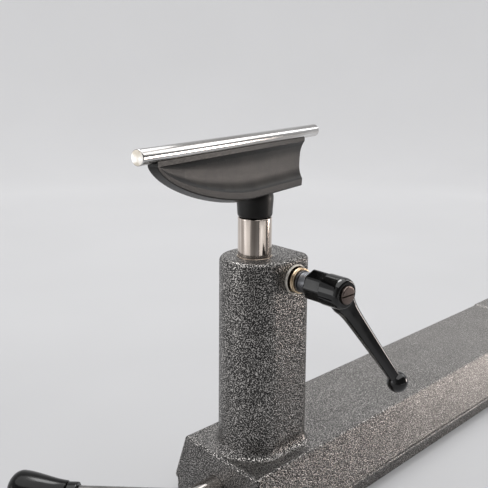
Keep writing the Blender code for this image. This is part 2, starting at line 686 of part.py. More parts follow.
def outer_cotter_mesh():
    """Outer cotter, with a groove turned near its outer end."""
    groove = COTTER_OUT - COTTER_GROOVE_AT
    points = [(STUD_BORE_R, COTTER_OUT), (COTTER_R - COTTER_CHAMFER, COTTER_OUT),
              (COTTER_R, COTTER_OUT - COTTER_CHAMFER), (COTTER_R, groove + COTTER_GROOVE),
              (COTTER_R - COTTER_GROOVE, groove), (COTTER_R, groove - COTTER_GROOVE),
              (COTTER_R, COTTER_SPLIT), (STUD_BORE_R, COTTER_SPLIT)]
    return profile("cotter_outer", points, closed=True)


def inner_cotter_mesh():
    return ring_profile("cotter_inner", COTTER_R, STUD_BORE_R, -COTTER_IN, -COTTER_SPLIT, COTTER_CHAMFER)


def stud_mesh():
    points = [(0.0, STUD_END - GAP), (STUD_R, STUD_END - GAP), (STUD_R, STUD_PITCH - COTTER_IN),
              (STUD_R - STUD_PITCH / 2, -COTTER_IN), (0.0, -COTTER_IN)]
    return profile("clamp_stud", points)


def washer_mesh():
    return ring_profile("thrust_washer", WASHER_R, STUD_BORE_R, WASHER_IN, WASHER_IN + WASHER_T,
                        WASHER_CHAMFER)


post_space = cutter("post_space", cylinder("post_space", POST_R + GAP, CLAMP_Z - 2 * COTTER_R,
                                           CLAMP_Z + 2 * COTTER_R))
for name, mesh in (("cotter_outer", outer_cotter_mesh()), ("cotter_inner", inner_cotter_mesh())):
    cotter = turn(piece(name, mesh, BRASS))
    cotter.matrix_world = Matrix.Translation(CLAMP_PLACE) @ OUTWARD
    combine(cotter, post_space, 'DIFFERENCE')
turn(piece("clamp_stud", stud_mesh(), DARK_STEEL, clamp_axis))
turn(piece("thrust_washer", washer_mesh(), DARK_STEEL, clamp_axis))


# Indexing lever

def toothed_outline(clearance):
    """Ring of teeth shared by the insert and the hub's mouth."""
    tooth = ((0.0, TOOTH_ROOT_R), (0.25, TOOTH_ROOT_R), (0.4, TOOTH_TIP_R), (0.85, TOOTH_TIP_R))
    points = []
    for i in range(TOOTH_COUNT):
        for step, radius in tooth:
            angle = 2 * math.pi * (i + step) / TOOTH_COUNT
            reach = radius + clearance
            points.append((reach * math.cos(angle), reach * math.sin(angle)))
    return points


def insert_mesh():
    """Steel insert: neck outside the hub, body inside it, stud's hole and screw's hole."""
    body_r = TOOTH_ROOT_R - TOOTH_RELIEF
    screw_r = SCREW_R + GAP
    points = [(0.0, SCREW_HOLE_END), (screw_r, SCREW_HOLE_END), (screw_r, INSERT_OUT),
              (body_r, INSERT_OUT), (body_r, NECK_OUT), (NECK_R, NECK_OUT),
              (NECK_R, INSERT_IN + NECK_CHAMFER), (NECK_R - NECK_CHAMFER, INSERT_IN),
              (STUD_BORE_R, INSERT_IN), (STUD_BORE_R, STUD_END), (0.0, STUD_END)]
    return profile("lever_insert", points)


def insert_teeth_mesh():
    """Teeth of the insert, from just inside its neck."""
    ring = [toothed_outline(0.0), circle(0, 0, STUD_BORE_R + GAP, SMALL_STEPS)]
    return extrude("insert_teeth", ring, NECK_OUT - NECK_CHAMFER, TOOTH_OUT - GAP)


def hub_ring(height, radius, flat):
    """Ring of the lever's hub, its radius held down to the flats on the skirt."""
    points = []
    count = HUB_FACETS * HUB_FACET_STEPS
    for i in range(count):
        angle = 2 * math.pi * i / count
        swing = (angle % (2 * math.pi / HUB_FACETS)) - math.pi / HUB_FACETS
        reach = min(radius, (radius - flat) / math.cos(swing)) if flat else radius
        points.append((reach * math.cos(angle), reach * math.sin(angle), height))
    return points


def hub_mesh():
    skirt = HUB_IN + HUB_SKIRT
    rings = [hub_ring(HUB_IN, HUB_R - HUB_EDGE, HUB_FACET_DROP),
             hub_ring(HUB_IN + HUB_EDGE, HUB_R, HUB_FACET_DROP),
             hub_ring(skirt - HUB_FACET_DROP, HUB_R, HUB_FACET_DROP),
             hub_ring(skirt, HUB_R, 0.0),
             hub_ring(HUB_OUT - HUB_CHAMFER, HUB_R, 0.0),
             hub_ring(HUB_OUT - HUB_SHOULDER, HUB_R - HUB_SHOULDER_IN, 0.0),
             hub_ring(HUB_OUT, HUB_MOUTH_R, 0.0)]
    return loft("lever_handle", rings)


LEVER_OUT = Vector((math.cos(LEVER_ANGLE), math.sin(LEVER_ANGLE), 0.0))
LEVER_FOOT = Vector((0, 0, HUB_OUT - LEVER_ROOT)) + LEVER_OUT * LEVER_START
BALL_CENTRE = Vector((0, 0, HUB_OUT - LEVER_ROOT + LEVER_RAKE)) + LEVER_OUT * LEVER_REACH


def lever_arm_mesh():
    """Tapered arm of the lever, its long edges bevelled, from the hub's middle to the ball."""
    across = Vector((-LEVER_OUT.y, LEVER_OUT.x, 0.0))
    deep = across.cross((BALL_CENTRE - LEVER_FOOT).normalized())
    rings = []
    for part in (0.0, 0.25, 0.6, 1.0):
        half_w = between(LEVER_ROOT_SIZE[0], LEVER_TIP_SIZE[0], part) / 2
        half_t = between(LEVER_ROOT_SIZE[1], LEVER_TIP_SIZE[1], part) / 2
        outline = rounded_box(-half_w, -half_t, half_w, half_t, 2 * half_t * LEVER_BEVEL, 2)
        middle = LEVER_FOOT.lerp(BALL_CENTRE, part)
        rings.append([middle + across * x + deep * y for x, y in outline])
    return loft("lever_arm", rings)


def ball_mesh():
    bm = bmesh.new()
    bmesh.ops.create_uvsphere(bm, u_segments=24, v_segments=14, radius=BALL_R,
                              matrix=Matrix.Translation(BALL_CENTRE))
    return finish_mesh("lever_ball", bm)


def hub_bore_mesh():
    """Plain bores of the hub: round the insert, through the web, round the screw's head."""
    wide = TOOTH_TIP_R + GAP
    head_r = HEAD_R + GAP
    web_r = SCREW_R + 2 * GAP
    points = [(0.0, HUB_OUT + OVERRUN), (head_r, HUB_OUT + OVERRUN), (head_r, WEB_OUT),
              (web_r, WEB_OUT), (web_r, WEB_IN), (wide, WEB_IN), (wide, TOOTH_OUT), (0.0, TOOTH_OUT)]
    return profile("hub_bore", points)


def hub_teeth_mesh():
    return extrude("hub_teeth", [toothed_outline(GAP)], HUB_IN - OVERRUN, TOOTH_OUT + GAP)


def spring_curve():
    """Compression spring between the hub's web and the screw's head."""
    low = WEB_OUT + GAP + SPRING_WIRE_R
    high = HEAD_IN - GAP - SPRING_WIRE_R
    radius = (SCREW_R + HEAD_R) / 2
    count = int(SPRING_TURNS * SPRING_TURN_STEPS)
    curve = bpy.data.curves.new("lever_spring", 'CURVE')
    curve.dimensions = '3D'
    curve.bevel_depth = SPRING_WIRE_R
    curve.bevel_resolution = 1
    curve.use_fill_caps = True
    spline = curve.splines.new('POLY')
    spline.points.add(count)
    for i, point in enumerate(spline.points):
        angle = 2 * math.pi * SPRING_TURNS * i / count
        height = between(low, high, i / count)
        point.co = (radius * math.cos(angle), radius * math.sin(angle), height, 1.0)
    curve.materials.append(DARK_STEEL)
    return curve


def screw_mesh():
    end = SCREW_HOLE_END + 2 * GAP
    points = [(0.0, HEAD_OUT), (HEAD_R - HEAD_EDGE, HEAD_OUT), (HEAD_R, HEAD_OUT - HEAD_EDGE),
              (HEAD_R, HEAD_IN), (SCREW_R, HEAD_IN), (SCREW_R, end), (0.0, end)]
    return profile("lever_screw", points)


insert = turn(piece("lever_insert", insert_mesh(), DARK_STEEL, clamp_axis))
combine(insert, cutter("insert_teeth", insert_teeth_mesh(), clamp_axis), 'UNION')
handle = piece("lever_handle", hub_mesh(), GLOSS_BLACK, handle_axis)
combine(handle, cutter("lever_arm", lever_arm_mesh(), handle_axis), 'UNION')
combine(handle, cutter("lever_ball", ball_mesh(), handle_axis), 'UNION')
combine(handle, turn(cutter("hub_bore", hub_bore_mesh(), handle_axis)), 'DIFFERENCE')
combine(handle, cutter("hub_teeth", hub_teeth_mesh(), handle_axis), 'DIFFERENCE')
spring = bpy.data.objects.new("lever_spring", spring_curve())
spring.parent = handle_axis
PIECES.objects.link(spring)
slot = box("screw_slot", (-HEAD_R - OVERRUN, -SLOT_W / 2, HEAD_OUT - SLOT_W),
           (HEAD_R + OVERRUN, SLOT_W / 2, HEAD_OUT + OVERRUN))
screw = turn(piece("lever_screw", screw_mesh(), DARK_STEEL, clamp_axis))
combine(screw, cutter("screw_slot", slot, clamp_axis), 'DIFFERENCE')


# Eccentric shaft, its bushes and collar

def shaft_mesh():
    """Shaft with a journal at each end and the eccentric between them."""
    stations = [(SHAFT_FRONT, SHAFT_R - SHAFT_CHAMFER, 0), (SHAFT_FRONT + SHAFT_CHAMFER, SHAFT_R, 0),
                (JOURNAL_END, SHAFT_R, 0), (JOURNAL_END, CAM_R, 1), (CAM_END, CAM_R, 1),
                (CAM_END + CAM_RUNOUT, TAIL_R, 0), (TAIL_END - SHAFT_CHAMFER, TAIL_R, 0),
                (TAIL_END, TAIL_R - SHAFT_CHAMFER, 0)]
    rings = []
    for x, radius, share in stations:
        ring = circle(-CAM_Z * share, CAM_Y * share, radius, ROUND_STEPS)
        rings.append([(u, v, x) for u, v in ring])
    return loft("eccentric_shaft", rings)


def front_bush_mesh():
    return ring_profile("shaft_front_bush", BUSH_R, SHAFT_BORE_R, BUSH_SEAT + GAP, HOLLOW_FRONT)


def tail_bush_mesh():
    return ring_profile("shaft_tail_bush", TAIL_BUSH_R, TAIL_R + GAP, HOLLOW_BACK, TAIL_END)


def collar_mesh():
    return ring_profile("shaft_collar", COLLAR_R, SHAFT_BORE_R, COLLAR_LOW, COLLAR_HIGH, COLLAR_CHAMFER)


DOWNWARD = Matrix.Translation((0, 0, (COLLAR_LOW + COLLAR_HIGH) / 2)) @ tilt('Y', 90)
shaft = piece("eccentric_shaft", shaft_mesh(), GROUND_STEEL, shaft_axis)
rod_hole = cylinder("rod_hole", ROD_R + GAP, ROD_SEAT - GAP, 2 * SHAFT_R + OVERRUN)
combine(shaft, cutter("rod_hole", rod_hole, rod_axis), 'DIFFERENCE')
for name, mesh in (("shaft_front_bush", front_bush_mesh()), ("shaft_tail_bush", tail_bush_mesh())):
    bush = turn(piece(name, mesh, BRONZE))
    bush.matrix_world = Matrix.Translation((0, SHAFT_Y, SHAFT_Z)) @ ALONG
collar = turn(piece("shaft_collar", collar_mesh(), DARK_STEEL, shaft_axis))
grub_hole = cylinder("grub_hole", GRUB_R + GAP, SHAFT_R - GAP, COLLAR_R + OVERRUN, DOWNWARD, SMALL_STEPS)
combine(collar, cutter("grub_hole", grub_hole, shaft_axis), 'DIFFERENCE')
grub = cylinder("collar_grub_screw", GRUB_R, SHAFT_BORE_R, COLLAR_R - GAP, DOWNWARD, SMALL_STEPS)
piece("collar_grub_screw", grub, DARK_STEEL, shaft_axis)


# Lever of the eccentric shaft

def rod_mesh():
    """Rod that stands in the shaft, stepped down to a tang for ferrule and grip."""
    step = FERRULE_START - GAP
    points = [(0.0, TANG_END), (TANG_R, TANG_END), (TANG_R, step), (ROD_R, step),
              (ROD_R, ROD_SEAT + ROD_CHAMFER), (ROD_R - ROD_CHAMFER, ROD_SEAT), (0.0, ROD_SEAT)]
    return profile("cam_lever_rod", points)


def ferrule_mesh():
    return ring_profile("grip_ferrule", FERRULE_R, TANG_R + GAP, FERRULE_START,
                        FERRULE_START + FERRULE_LENGTH, FERRULE_CHAMFER)


def grip_mesh():
    """Turned grip, swelling towards its round outer end, bored for the rod's tang."""
    swell = [(0.0, GRIP_ROOT_R - GRIP_EDGE), (GRIP_EDGE, GRIP_ROOT_R)]
    for part in (0.2, 0.4, 0.6, 0.8, 1.0):
        ease = between(part, part * part * (3 - 2 * part), GRIP_EASE)
        swell.append((GRIP_BULGE_AT * part, between(GRIP_ROOT_R, GRIP_R, ease)))
    for a in (20, 40, 60, 75):
        turned = math.radians(a)
        along = between(GRIP_BULGE_AT, GRIP_LENGTH, math.sin(turned))
        swell.append((along, GRIP_R * math.cos(turned) ** GRIP_END_POWER))
    swell.append((GRIP_LENGTH, 0.0))
    outer = [(r, GRIP_START + x) for x, r in reversed(swell)]
    hole = TANG_R + GAP
    bottom = TANG_END + GAP
    return profile("cam_lever_grip", outer + [(hole, GRIP_START), (hole, bottom), (0.0, bottom)])


turn(piece("cam_lever_rod", rod_mesh(), GROUND_STEEL, rod_axis))
turn(piece("grip_ferrule", ferrule_mesh(), GLOSS_BLACK, rod_axis))
turn(piece("cam_lever_grip", grip_mesh(), GLOSS_BLACK, rod_axis))


# Yoke and guide plate

def yoke_mesh():
    """Yoke seen along the arm: its oblong hole takes the eccentric's lift and not its swing."""
    hole = arc(CAM_THROW, 0.0, YOKE_HOLE_HALF, -math.pi / 2, math.pi / 2, 12)
    hole += arc(-CAM_THROW, 0.0, YOKE_HOLE_HALF, math.pi / 2, 3 * math.pi / 2, 12)
    foot = YOKE_FOOT - (SHAFT_Z + CAM_Z)
    block = rounded_box(-YOKE_HALF, foot, YOKE_HALF, YOKE_HOLE_HALF + YOKE_WALL, YOKE_CORNER_R)
    return extrude("clamp_yoke", [block, hole], -YOKE_LENGTH / 2, YOKE_LENGTH / 2)


def plate_mesh():
    """Guide plate that runs in the arm's grooves, with a window for the yoke."""
    half_x = YOKE_LENGTH / 2 + GAP
    low_y = SHAFT_Y - YOKE_HALF - GAP
    high_y = SHAFT_Y + YOKE_HALF + GAP
    window = [(-half_x, low_y), (half_x, low_y), (half_x, high_y), (-half_x, high_y)]
    edge = GROOVE_HALF - GAP
    outline = rounded_box(-PLATE_LENGTH / 2, -edge, PLATE_LENGTH / 2, edge, PLATE_CORNER_R, 2)
    return extrude("yoke_guide_plate", [outline, window], PLATE_LOW, PLATE_LOW + PLATE_T)


yoke = piece("clamp_yoke", yoke_mesh(), DARK_STEEL, yoke_axis)
yoke.matrix_local = FACING
foot_hole = cutter("foot_hole", cylinder("foot_hole", FOOT_HOLE_R, YOKE_FOOT - OVERRUN,
                                         YOKE_FOOT + FOOT_HOLE_DEPTH, None, SMALL_STEPS))
foot_hole.location = (YOKE_X, SHAFT_Y, 0)
combine(yoke, foot_hole, 'DIFFERENCE')
plate = piece("yoke_guide_plate", plate_mesh(), DARK_STEEL)
plate.location = (YOKE_X, 0, 0)
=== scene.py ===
"""Wood-lathe tool rest in its holder: the surfaces and finishes of every piece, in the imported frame."""
import math

import bmesh
import bpy
from mathutils import Matrix, Vector


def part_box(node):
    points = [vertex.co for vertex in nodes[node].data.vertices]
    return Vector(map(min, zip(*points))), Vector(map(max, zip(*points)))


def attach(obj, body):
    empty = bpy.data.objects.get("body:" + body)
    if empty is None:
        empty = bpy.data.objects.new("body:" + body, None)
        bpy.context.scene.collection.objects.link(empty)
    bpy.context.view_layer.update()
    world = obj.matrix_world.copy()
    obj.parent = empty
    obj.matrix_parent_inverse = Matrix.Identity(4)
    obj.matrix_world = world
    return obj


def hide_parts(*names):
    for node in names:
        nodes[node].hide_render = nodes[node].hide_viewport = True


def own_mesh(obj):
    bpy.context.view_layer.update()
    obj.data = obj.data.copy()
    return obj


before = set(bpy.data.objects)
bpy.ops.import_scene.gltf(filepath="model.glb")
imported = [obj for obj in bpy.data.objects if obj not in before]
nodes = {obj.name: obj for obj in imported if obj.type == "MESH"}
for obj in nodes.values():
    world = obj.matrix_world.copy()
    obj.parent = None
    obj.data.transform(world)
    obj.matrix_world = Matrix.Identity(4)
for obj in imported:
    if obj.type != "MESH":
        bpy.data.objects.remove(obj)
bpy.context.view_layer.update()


# Camera at the photograph's viewing angle, looking down the arm from its lever end.
# Its place and lens were fitted to the edges of the post, column and arm.
SENSOR = 36.0
PICTURE = 488
FOCAL_PIXELS = 676.1
EYE = Vector((-0.3383, -0.3515, 0.3474))
EYE_YAW = math.radians(47.03)
EYE_PITCH = math.radians(14.81)
EYE_ROLL = math.radians(0.28)

lens = bpy.data.cameras.new("photo_camera")
lens.sensor_width = SENSOR
lens.lens = FOCAL_PIXELS / PICTURE * SENSOR
lens.clip_start = 0.01
camera = bpy.data.objects.new("photo_camera", lens)
bpy.context.scene.collection.objects.link(camera)
forward = Vector((math.cos(EYE_YAW) * math.cos(EYE_PITCH), math.sin(EYE_YAW) * math.cos(EYE_PITCH),
                  -math.sin(EYE_PITCH)))
level = Vector((math.sin(EYE_YAW), -math.cos(EYE_YAW), 0.0))
raised = level.cross(forward)
right = level * math.cos(EYE_ROLL) + raised * math.sin(EYE_ROLL)
upward = raised * math.cos(EYE_ROLL) - level * math.sin(EYE_ROLL)
camera.matrix_world = Matrix.Translation(EYE) @ Matrix((right, upward, -forward)).transposed().to_4x4()
bpy.context.scene.camera = camera


# Holder: one iron casting, a hollow arm with a column standing on its front end.
# Sprayed with hammered grey paint, then bored for the post, the post clamp and the eccentric
# shaft and milled on its foot, so those faces are bare iron.
ARM_LOW, ARM_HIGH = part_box("banjo_casting")
ARM_TOP = 0.0544
ARM_END_ROUND = 0.0025
ARM_RIDGE_R = 0.003
ARM_SIDE_LEAN = math.radians(20.0)
FOOT_HALF = 0.0546
FOOT_BAND = 0.0104            # height of the upright band at the foot
BEAD_R = 0.0013               # bead along the foot of each side
BEAD_Y = 0.0561
BEAD_Z = 0.0124
SIDE_FOOT = (0.0566, 0.0152)  # where the leaning side starts over the bead
SIDE_HOLLOW = 0.0547          # floor of the groove between bead and side
PAD_LENGTH = 0.047
PAD_RISE = 0.002
COLUMN_TOP = ARM_HIGH.z
COLUMN_R = 0.0265
COLUMN_BACK = 0.03605
COLUMN_CORNER_R = 0.009
COLUMN_TOP_R = 0.004
COLUMN_FOOT_R = 0.006
COLUMN_DRAFT = 0.008
COLUMN_ROOT = 0.003
POST_BORE_R = 0.013
POST_BORE_FLOOR = 0.062
POST_BORE_CHAMFER = 0.0005
CLAMP_X = 0.0170
CLAMP_Z = 0.1936
CLAMP_FACE = 0.02663
CLAMP_BORE_R = 0.01005
CLAMP_BORE_CHAMFER = 0.0004
CLAMP_RIM_R = 0.0113          # turned rim round the bore's mouth
CLAMP_RIM_OUT = 0.0281
CLAMP_RIM_EASE = 0.0007
CLAMP_BORE_FLOOR = 0.0235
HOLLOW_FRONT = 0.050
HOLLOW_BACK = 0.455
HOLLOW_TOP = 0.0444
HOLLOW_FOOT_HALF = 0.040
HOLLOW_TOP_HALF = 0.030
HOLLOW_SPLAY = 0.0009         # half width added where the cut runs out below the foot
GROOVE_HALF = 0.046
GROOVE_FLOOR = 0.0042
GROOVE_TOP = 0.0093
NOTCH_END = 0.1012
NOTCH_SHORT = 0.0003          # the notch stops this far under the grooves' top
SHAFT_Y = 0.003
SHAFT_Z = 0.0239
SHAFT_BORE_R = 0.0121
FRONT_SEAT_R = 0.0154
FRONT_SEAT_START = 0.024
TAIL_SEAT_R = 0.0111
CUT_PAST = 0.004
BLACK = (0.0, 0.0, 0.0, 1.0)
WHITE = (1.0, 1.0, 1.0, 1.0)
PAINT_DARK = (0.006, 0.0056, 0.0052, 1.0)
PAINT_FLECK = (0.60, 0.575, 0.55, 1.0)
PAINT_CELLS = 1300.0          # meshes of the paint's net to a metre
PAINT_NET = ((0.52, BLACK), (0.74, WHITE))
PAINT_FLOW = (0.03, 0.30)     # along the arm the paint lies thicker, and its net flows out
PAINT_FLOWED = (0.38, 0.38, 0.38, 1.0)
OUTWARD = Matrix.Rotation(math.radians(90), 4, 'X')
ALONG = Matrix.Rotation(math.radians(90), 4, 'Y')
CLAMP_PLACE = Matrix.Translation((CLAMP_X, 0, CLAMP_Z)) @ OUTWARD
SHAFT_PLACE = Matrix.Translation((0, SHAFT_Y, SHAFT_Z)) @ ALONG


def new_finish(name, color, roughness, metallic):
    """Material with one Principled shader, and that shader."""
    finish = bpy.data.materials.new(name)
    finish.use_nodes = True
    shader = finish.node_tree.nodes["Principled BSDF"]
    shader.inputs["Base Color"].default_value = color
    shader.inputs["Roughness"].default_value = roughness
    shader.inputs["Metallic"].default_value = metallic
    return finish, shader


def add_node(finish, kind, inputs, **settings):
    """Node with its settings, its input values and its incoming links."""
    node = finish.node_tree.nodes.new("ShaderNode" + kind)
    for name, value in settings.items():
        setattr(node, name, value)
    for name, value in inputs.items():
        if isinstance(value, bpy.types.NodeSocket):
            finish.node_tree.links.new(value, node.inputs[name])
        else:
            node.inputs[name].default_value = value
    return node


def feed(finish, socket, shader, name):
    finish.node_tree.links.new(socket, shader.inputs[name])


def grain(finish, scale, detail=2.0, stretch=(1, 1, 1), turn=(0, 0, 0)):
    """Noise in the piece's own coordinates, drawn out along an axis for streaks."""
    coords = add_node(finish, "TexCoord", {})
    turned = add_node(finish, "Mapping", {"Vector": coords.outputs["Object"], "Rotation": turn})
    drawn = add_node(finish, "Mapping", {"Vector": turned.outputs["Vector"], "Scale": stretch})
    noise = add_node(finish, "TexNoise", {"Vector": drawn.outputs["Vector"], "Scale": scale,
                                          "Detail": detail})
    return noise.outputs[0]


def stops(finish, value, points):
    """Colour ramp through (place, colour) points."""
    ramp = add_node(finish, "ValToRGB", {0: value})
    ramp.color_ramp.interpolation = 'EASE'
    elements = ramp.color_ramp.elements
    while len(elements) < len(points):
        elements.new(0.5)
    for element, (place, color) in zip(elements, points):
        element.position = place
        element.color = color
    return ramp.outputs["Color"]


def spread(finish, value, low, high, to_low, to_high, ease='LINEAR'):
    """Number moved from one range to another, held at both ends."""
    ranged = add_node(finish, "MapRange", {"Value": value, "From Min": low, "From Max": high,
                                           "To Min": to_low, "To Max": to_high}, interpolation_type=ease)
    return ranged.outputs["Result"]


def times(finish, first, second):
    return add_node(finish, "Math", {0: first, 1: second}, operation='MULTIPLY').outputs[0]


def blend_colors(finish, factor, first, second):
    """Two colours mixed by a number; the sockets 6 and 7 of the node are its colours."""
    return add_node(finish, "Mix", {0: factor, 6: first, 7: second}, data_type='RGBA').outputs[2]


def relief(finish, shader, value, strength, depth):
    bump = add_node(finish, "Bump", {"Height": value, "Strength": strength, "Distance": depth})
    feed(finish, bump.outputs["Normal"], shader, "Normal")


def hammered_paint():
    """Grey paint that draws up into a worm-like net of silver flecks under a clear film."""
    finish, shader = new_finish("hammered_paint", PAINT_DARK, 0.36, 0.5)
    coords = add_node(finish, "TexCoord", {}).outputs["Object"]
    cells = add_node(finish, "TexVoronoi", {"Vector": coords, "Scale": PAINT_CELLS}).outputs["Distance"]
    net = stops(finish, cells, PAINT_NET)
    along = add_node(finish, "SeparateXYZ", {0: coords})
    flow = spread(finish, along.outputs["X"], *PAINT_FLOW, 0.0, 0.55)
    net = blend_colors(finish, flow, net, PAINT_FLOWED)
    clouds = spread(finish, grain(finish, 38.0, 3.0), 0.35, 0.65, 0.86, 1.0)
    color = blend_colors(finish, times(finish, net, clouds), PAINT_DARK, PAINT_FLECK)
    feed(finish, color, shader, "Base Color")
    feed(finish, spread(finish, net, 0.0, 1.0, 0.0, 0.96), shader, "Metallic")
    feed(finish, spread(finish, net, 0.0, 1.0, 0.5, 0.24), shader, "Roughness")
    relief(finish, shader, net, 0.35, 0.0003)
    shader.inputs["Specular IOR Level"].default_value = 0.3
    shader.inputs["Coat Weight"].default_value = 0.1
    shader.inputs["Coat Roughness"].default_value = 0.3
    return finish


def bare_iron(name, color, roughness, streak, turn=(0, 0, 0)):
    """Cut iron with the marks of the cutter drawn out along one direction."""
    finish, shader = new_finish(name, color, roughness, 1.0)
    marks = grain(finish, 90.0, 4.0, streak, turn)
    dull = tuple(0.55 * part for part in color[:3]) + (1.0,)
    feed(finish, blend_colors(finish, spread(finish, marks, 0.35, 0.65, 0, 1), dull, color), shader,
         "Base Color")
    feed(finish, spread(finish, marks, 0.3, 0.7, roughness - 0.08, roughness + 0.12), shader, "Roughness")
    relief(finish, shader, marks, 0.2, 0.0001)
    return finish


def pale_rim():
    """Iron turned bare round the clamp's bore, pale and matt, with the marks of the tool."""
    finish, shader = new_finish("pale_rim", (0.78, 0.74, 0.67, 1), 0.55, 0.35)
    marks = grain(finish, 400.0, 3.0)
    tone = stops(finish, marks, [(0.3, (0.60, 0.56, 0.50, 1)), (0.7, (0.86, 0.82, 0.75, 1))])
    feed(finish, tone, shader, "Base Color")
    feed(finish, spread(finish, marks, 0.3, 0.7, 0.62, 0.45), shader, "Roughness")
    relief(finish, shader, marks, 0.2, 0.0001)
    return finish


def raw_casting():
    """Sandy inside of the casting, as it came from the mould and was dipped in grey primer."""
    finish, shader = new_finish("raw_casting", (0.05, 0.048, 0.045, 1), 0.85, 0.1)
    sand = grain(finish, 600.0, 5.0)
    stain = grain(finish, 45.0, 4.0)
    tone = stops(finish, stain, [(0.3, (0.025, 0.023, 0.021, 1)), (0.7, (0.085, 0.08, 0.074, 1))])
    feed(finish, tone, shader, "Base Color")
    feed(finish, spread(finish, sand, 0.3, 0.7, 0.7, 0.95), shader, "Roughness")
    relief(finish, shader, sand, 0.6, 0.0004)
    return finish


def arc(x, y, radius, start, end, steps):
    """Points along an arc, both ends included, with its angles in degrees."""
    angles = [math.radians(start + (end - start) * i / steps) for i in range(steps + 1)]
    return [(x + radius * math.cos(a), y + radius * math.sin(a)) for a in angles]


def between(low, high, share):
    return low + (high - low) * share


def mesh_piece(name, bm, finish):
    """New object from a bmesh, with all its faces turned outwards."""
    bmesh.ops.recalc_face_normals(bm, faces=bm.faces)
    mesh = bpy.data.meshes.new(name)
    bm.to_mesh(mesh)
    bm.free()
    mesh.materials.append(finish)
    piece = bpy.data.objects.new(name, mesh)
    bpy.context.scene.collection.objects.link(piece)
    return piece


def skinned(name, rings, finish):
    """Closed body through rings with like numbers of points, capped at both ends."""
    bm = bmesh.new()
    loops = [[bm.verts.new(point) for point in ring] for ring in rings]
    for low, high in zip(loops, loops[1:]):
        for i in range(len(low)):
            j = (i + 1) % len(low)
            bm.faces.new((low[i], low[j], high[j], high[i]))
    bm.faces.new(list(reversed(loops[0])))
    bm.faces.new(loops[-1])
    return mesh_piece(name, bm, finish)


def turned(name, outline, place, finish, steps=96):
    """Turned body from a closed outline of (radius, height) points; a radius of 0 is on the axis."""
    bm = bmesh.new()
    loops = []
    for radius, height in outline:
        count = steps if radius > 0 else 1
        angles = [2 * math.pi * i / count for i in range(count)]
        loops.append([bm.verts.new(place @ Vector((radius * math.cos(a), radius * math.sin(a), height)))
                      for a in angles])
    for low, high in zip(loops, loops[1:] + loops[:1]):
        for i in range(steps):
            j = (i + 1) % steps
            corners = [low[i % len(low)], low[j % len(low)], high[j % len(high)], high[i % len(high)]]
            corners = list(dict.fromkeys(corners))
            if len(corners) > 2:
                bm.faces.new(corners)
    return mesh_piece(name, bm, finish)


def eased(points, radius, steps=4, closed=True):
    """Outline with each corner off the axis rounded by a short curve."""
    soft = []
    count = len(points)
    for i, (x, y) in enumerate(points):
        corner = Vector((x, y))
        if (not closed and i in (0, count - 1)) or x == 0.0:
            soft.append((x, y))
            continue
        before = Vector(points[i - 1]) - corner
        after = Vector(points[(i + 1) % count]) - corner
        start = corner + before.normalized() * min(radius, 0.45 * before.length)
        end = corner + after.normalized() * min(radius, 0.45 * after.length)
        for k in range(steps + 1):
            t = k / steps
            spot = start * (1 - t) ** 2 + corner * 2 * t * (1 - t) + end * t ** 2
            soft.append((spot.x, spot.y))
    return soft


def block(name, low, high, finish):
    """Plain cutter between two corners."""
    bm = bmesh.new()
    bmesh.ops.create_cube(bm, size=1.0)
    low, high = Vector(low), Vector(high)
    for vert in bm.verts:
        vert.co = low + (vert.co + Vector((0.5, 0.5, 0.5))) * (high - low)
    return mesh_piece(name, bm, finish)


def carve(piece, tool, operation='DIFFERENCE'):
    """Boolean that is applied at once; the faces that it leaves keep the tool's own finish."""
    modifier = piece.modifiers.new("carve", 'BOOLEAN')
    modifier.operation = operation
    modifier.solver = 'EXACT'
    modifier.material_mode = 'TRANSFER'
    modifier.object = tool
    graph = bpy.context.evaluated_depsgraph_get()
    mesh = bpy.data.meshes.new_from_object(piece.evaluated_get(graph))
    piece.modifiers.clear()
    piece.data = mesh
    bpy.data.objects.remove(tool)


def hand_over(piece, body, slot, *replaced, sharp=32):
    """Smooth shading with crisp edges, then the piece rides on its body in its node's place."""
    piece.data.shade_smooth()
    piece.data.set_sharp_from_angle(angle=math.radians(sharp))
    weighted = piece.modifiers.new("even_normals", 'WEIGHTED_NORMAL')
    weighted.keep_sharp = True
    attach(piece, body)
    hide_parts(*replaced)


def arm_ring(x, inset, rise):
    """Outline of the arm across X: foot band, bead, leaning side and rounded ridge."""
    ridge_z = ARM_TOP + rise - ARM_RIDGE_R
    reach = ARM_RIDGE_R + (ridge_z - SIDE_FOOT[1]) * math.sin(ARM_SIDE_LEAN)
    ridge_y = SIDE_FOOT[0] - reach / math.cos(ARM_SIDE_LEAN)
    lean = math.degrees(ARM_SIDE_LEAN)
    half = [(FOOT_HALF - inset, 0.0), (FOOT_HALF - inset, FOOT_BAND)]
    half += [(y - inset, z) for y, z in arc(BEAD_Y, BEAD_Z, BEAD_R, -55, 75, 8)]
    half.append((SIDE_HOLLOW - inset, (BEAD_Z + BEAD_R + SIDE_FOOT[1]) / 2))
    half.append((SIDE_FOOT[0] - inset, SIDE_FOOT[1]))
    half += arc(ridge_y, ridge_z, ARM_RIDGE_R - inset, lean, 90, 8)
    return [(x, y, z) for y, z in half] + [(x, -y, z) for y, z in reversed(half)]


def arm_body(finish):
    turns = [math.radians(15 * i) for i in range(7)]
    rounding = [(ARM_END_ROUND * (1 - math.cos(a)), ARM_END_ROUND * (1 - math.sin(a))) for a in turns]
    pad_start = ARM_HIGH.x - PAD_LENGTH
    rings = [arm_ring(ARM_LOW.x + step, inset, 0.0) for step, inset in rounding]
    for share in (0.0, 0.25, 0.5, 0.75, 1.0):
        ease = share * share * (3 - 2 * share)
        rings.append(arm_ring(pad_start + PAD_RISE * share, 0.0, PAD_RISE * ease))
    rings += [arm_ring(ARM_HIGH.x - step, inset, PAD_RISE) for step, inset in reversed(rounding)]
    return skinned("holder_casting", rings, finish)


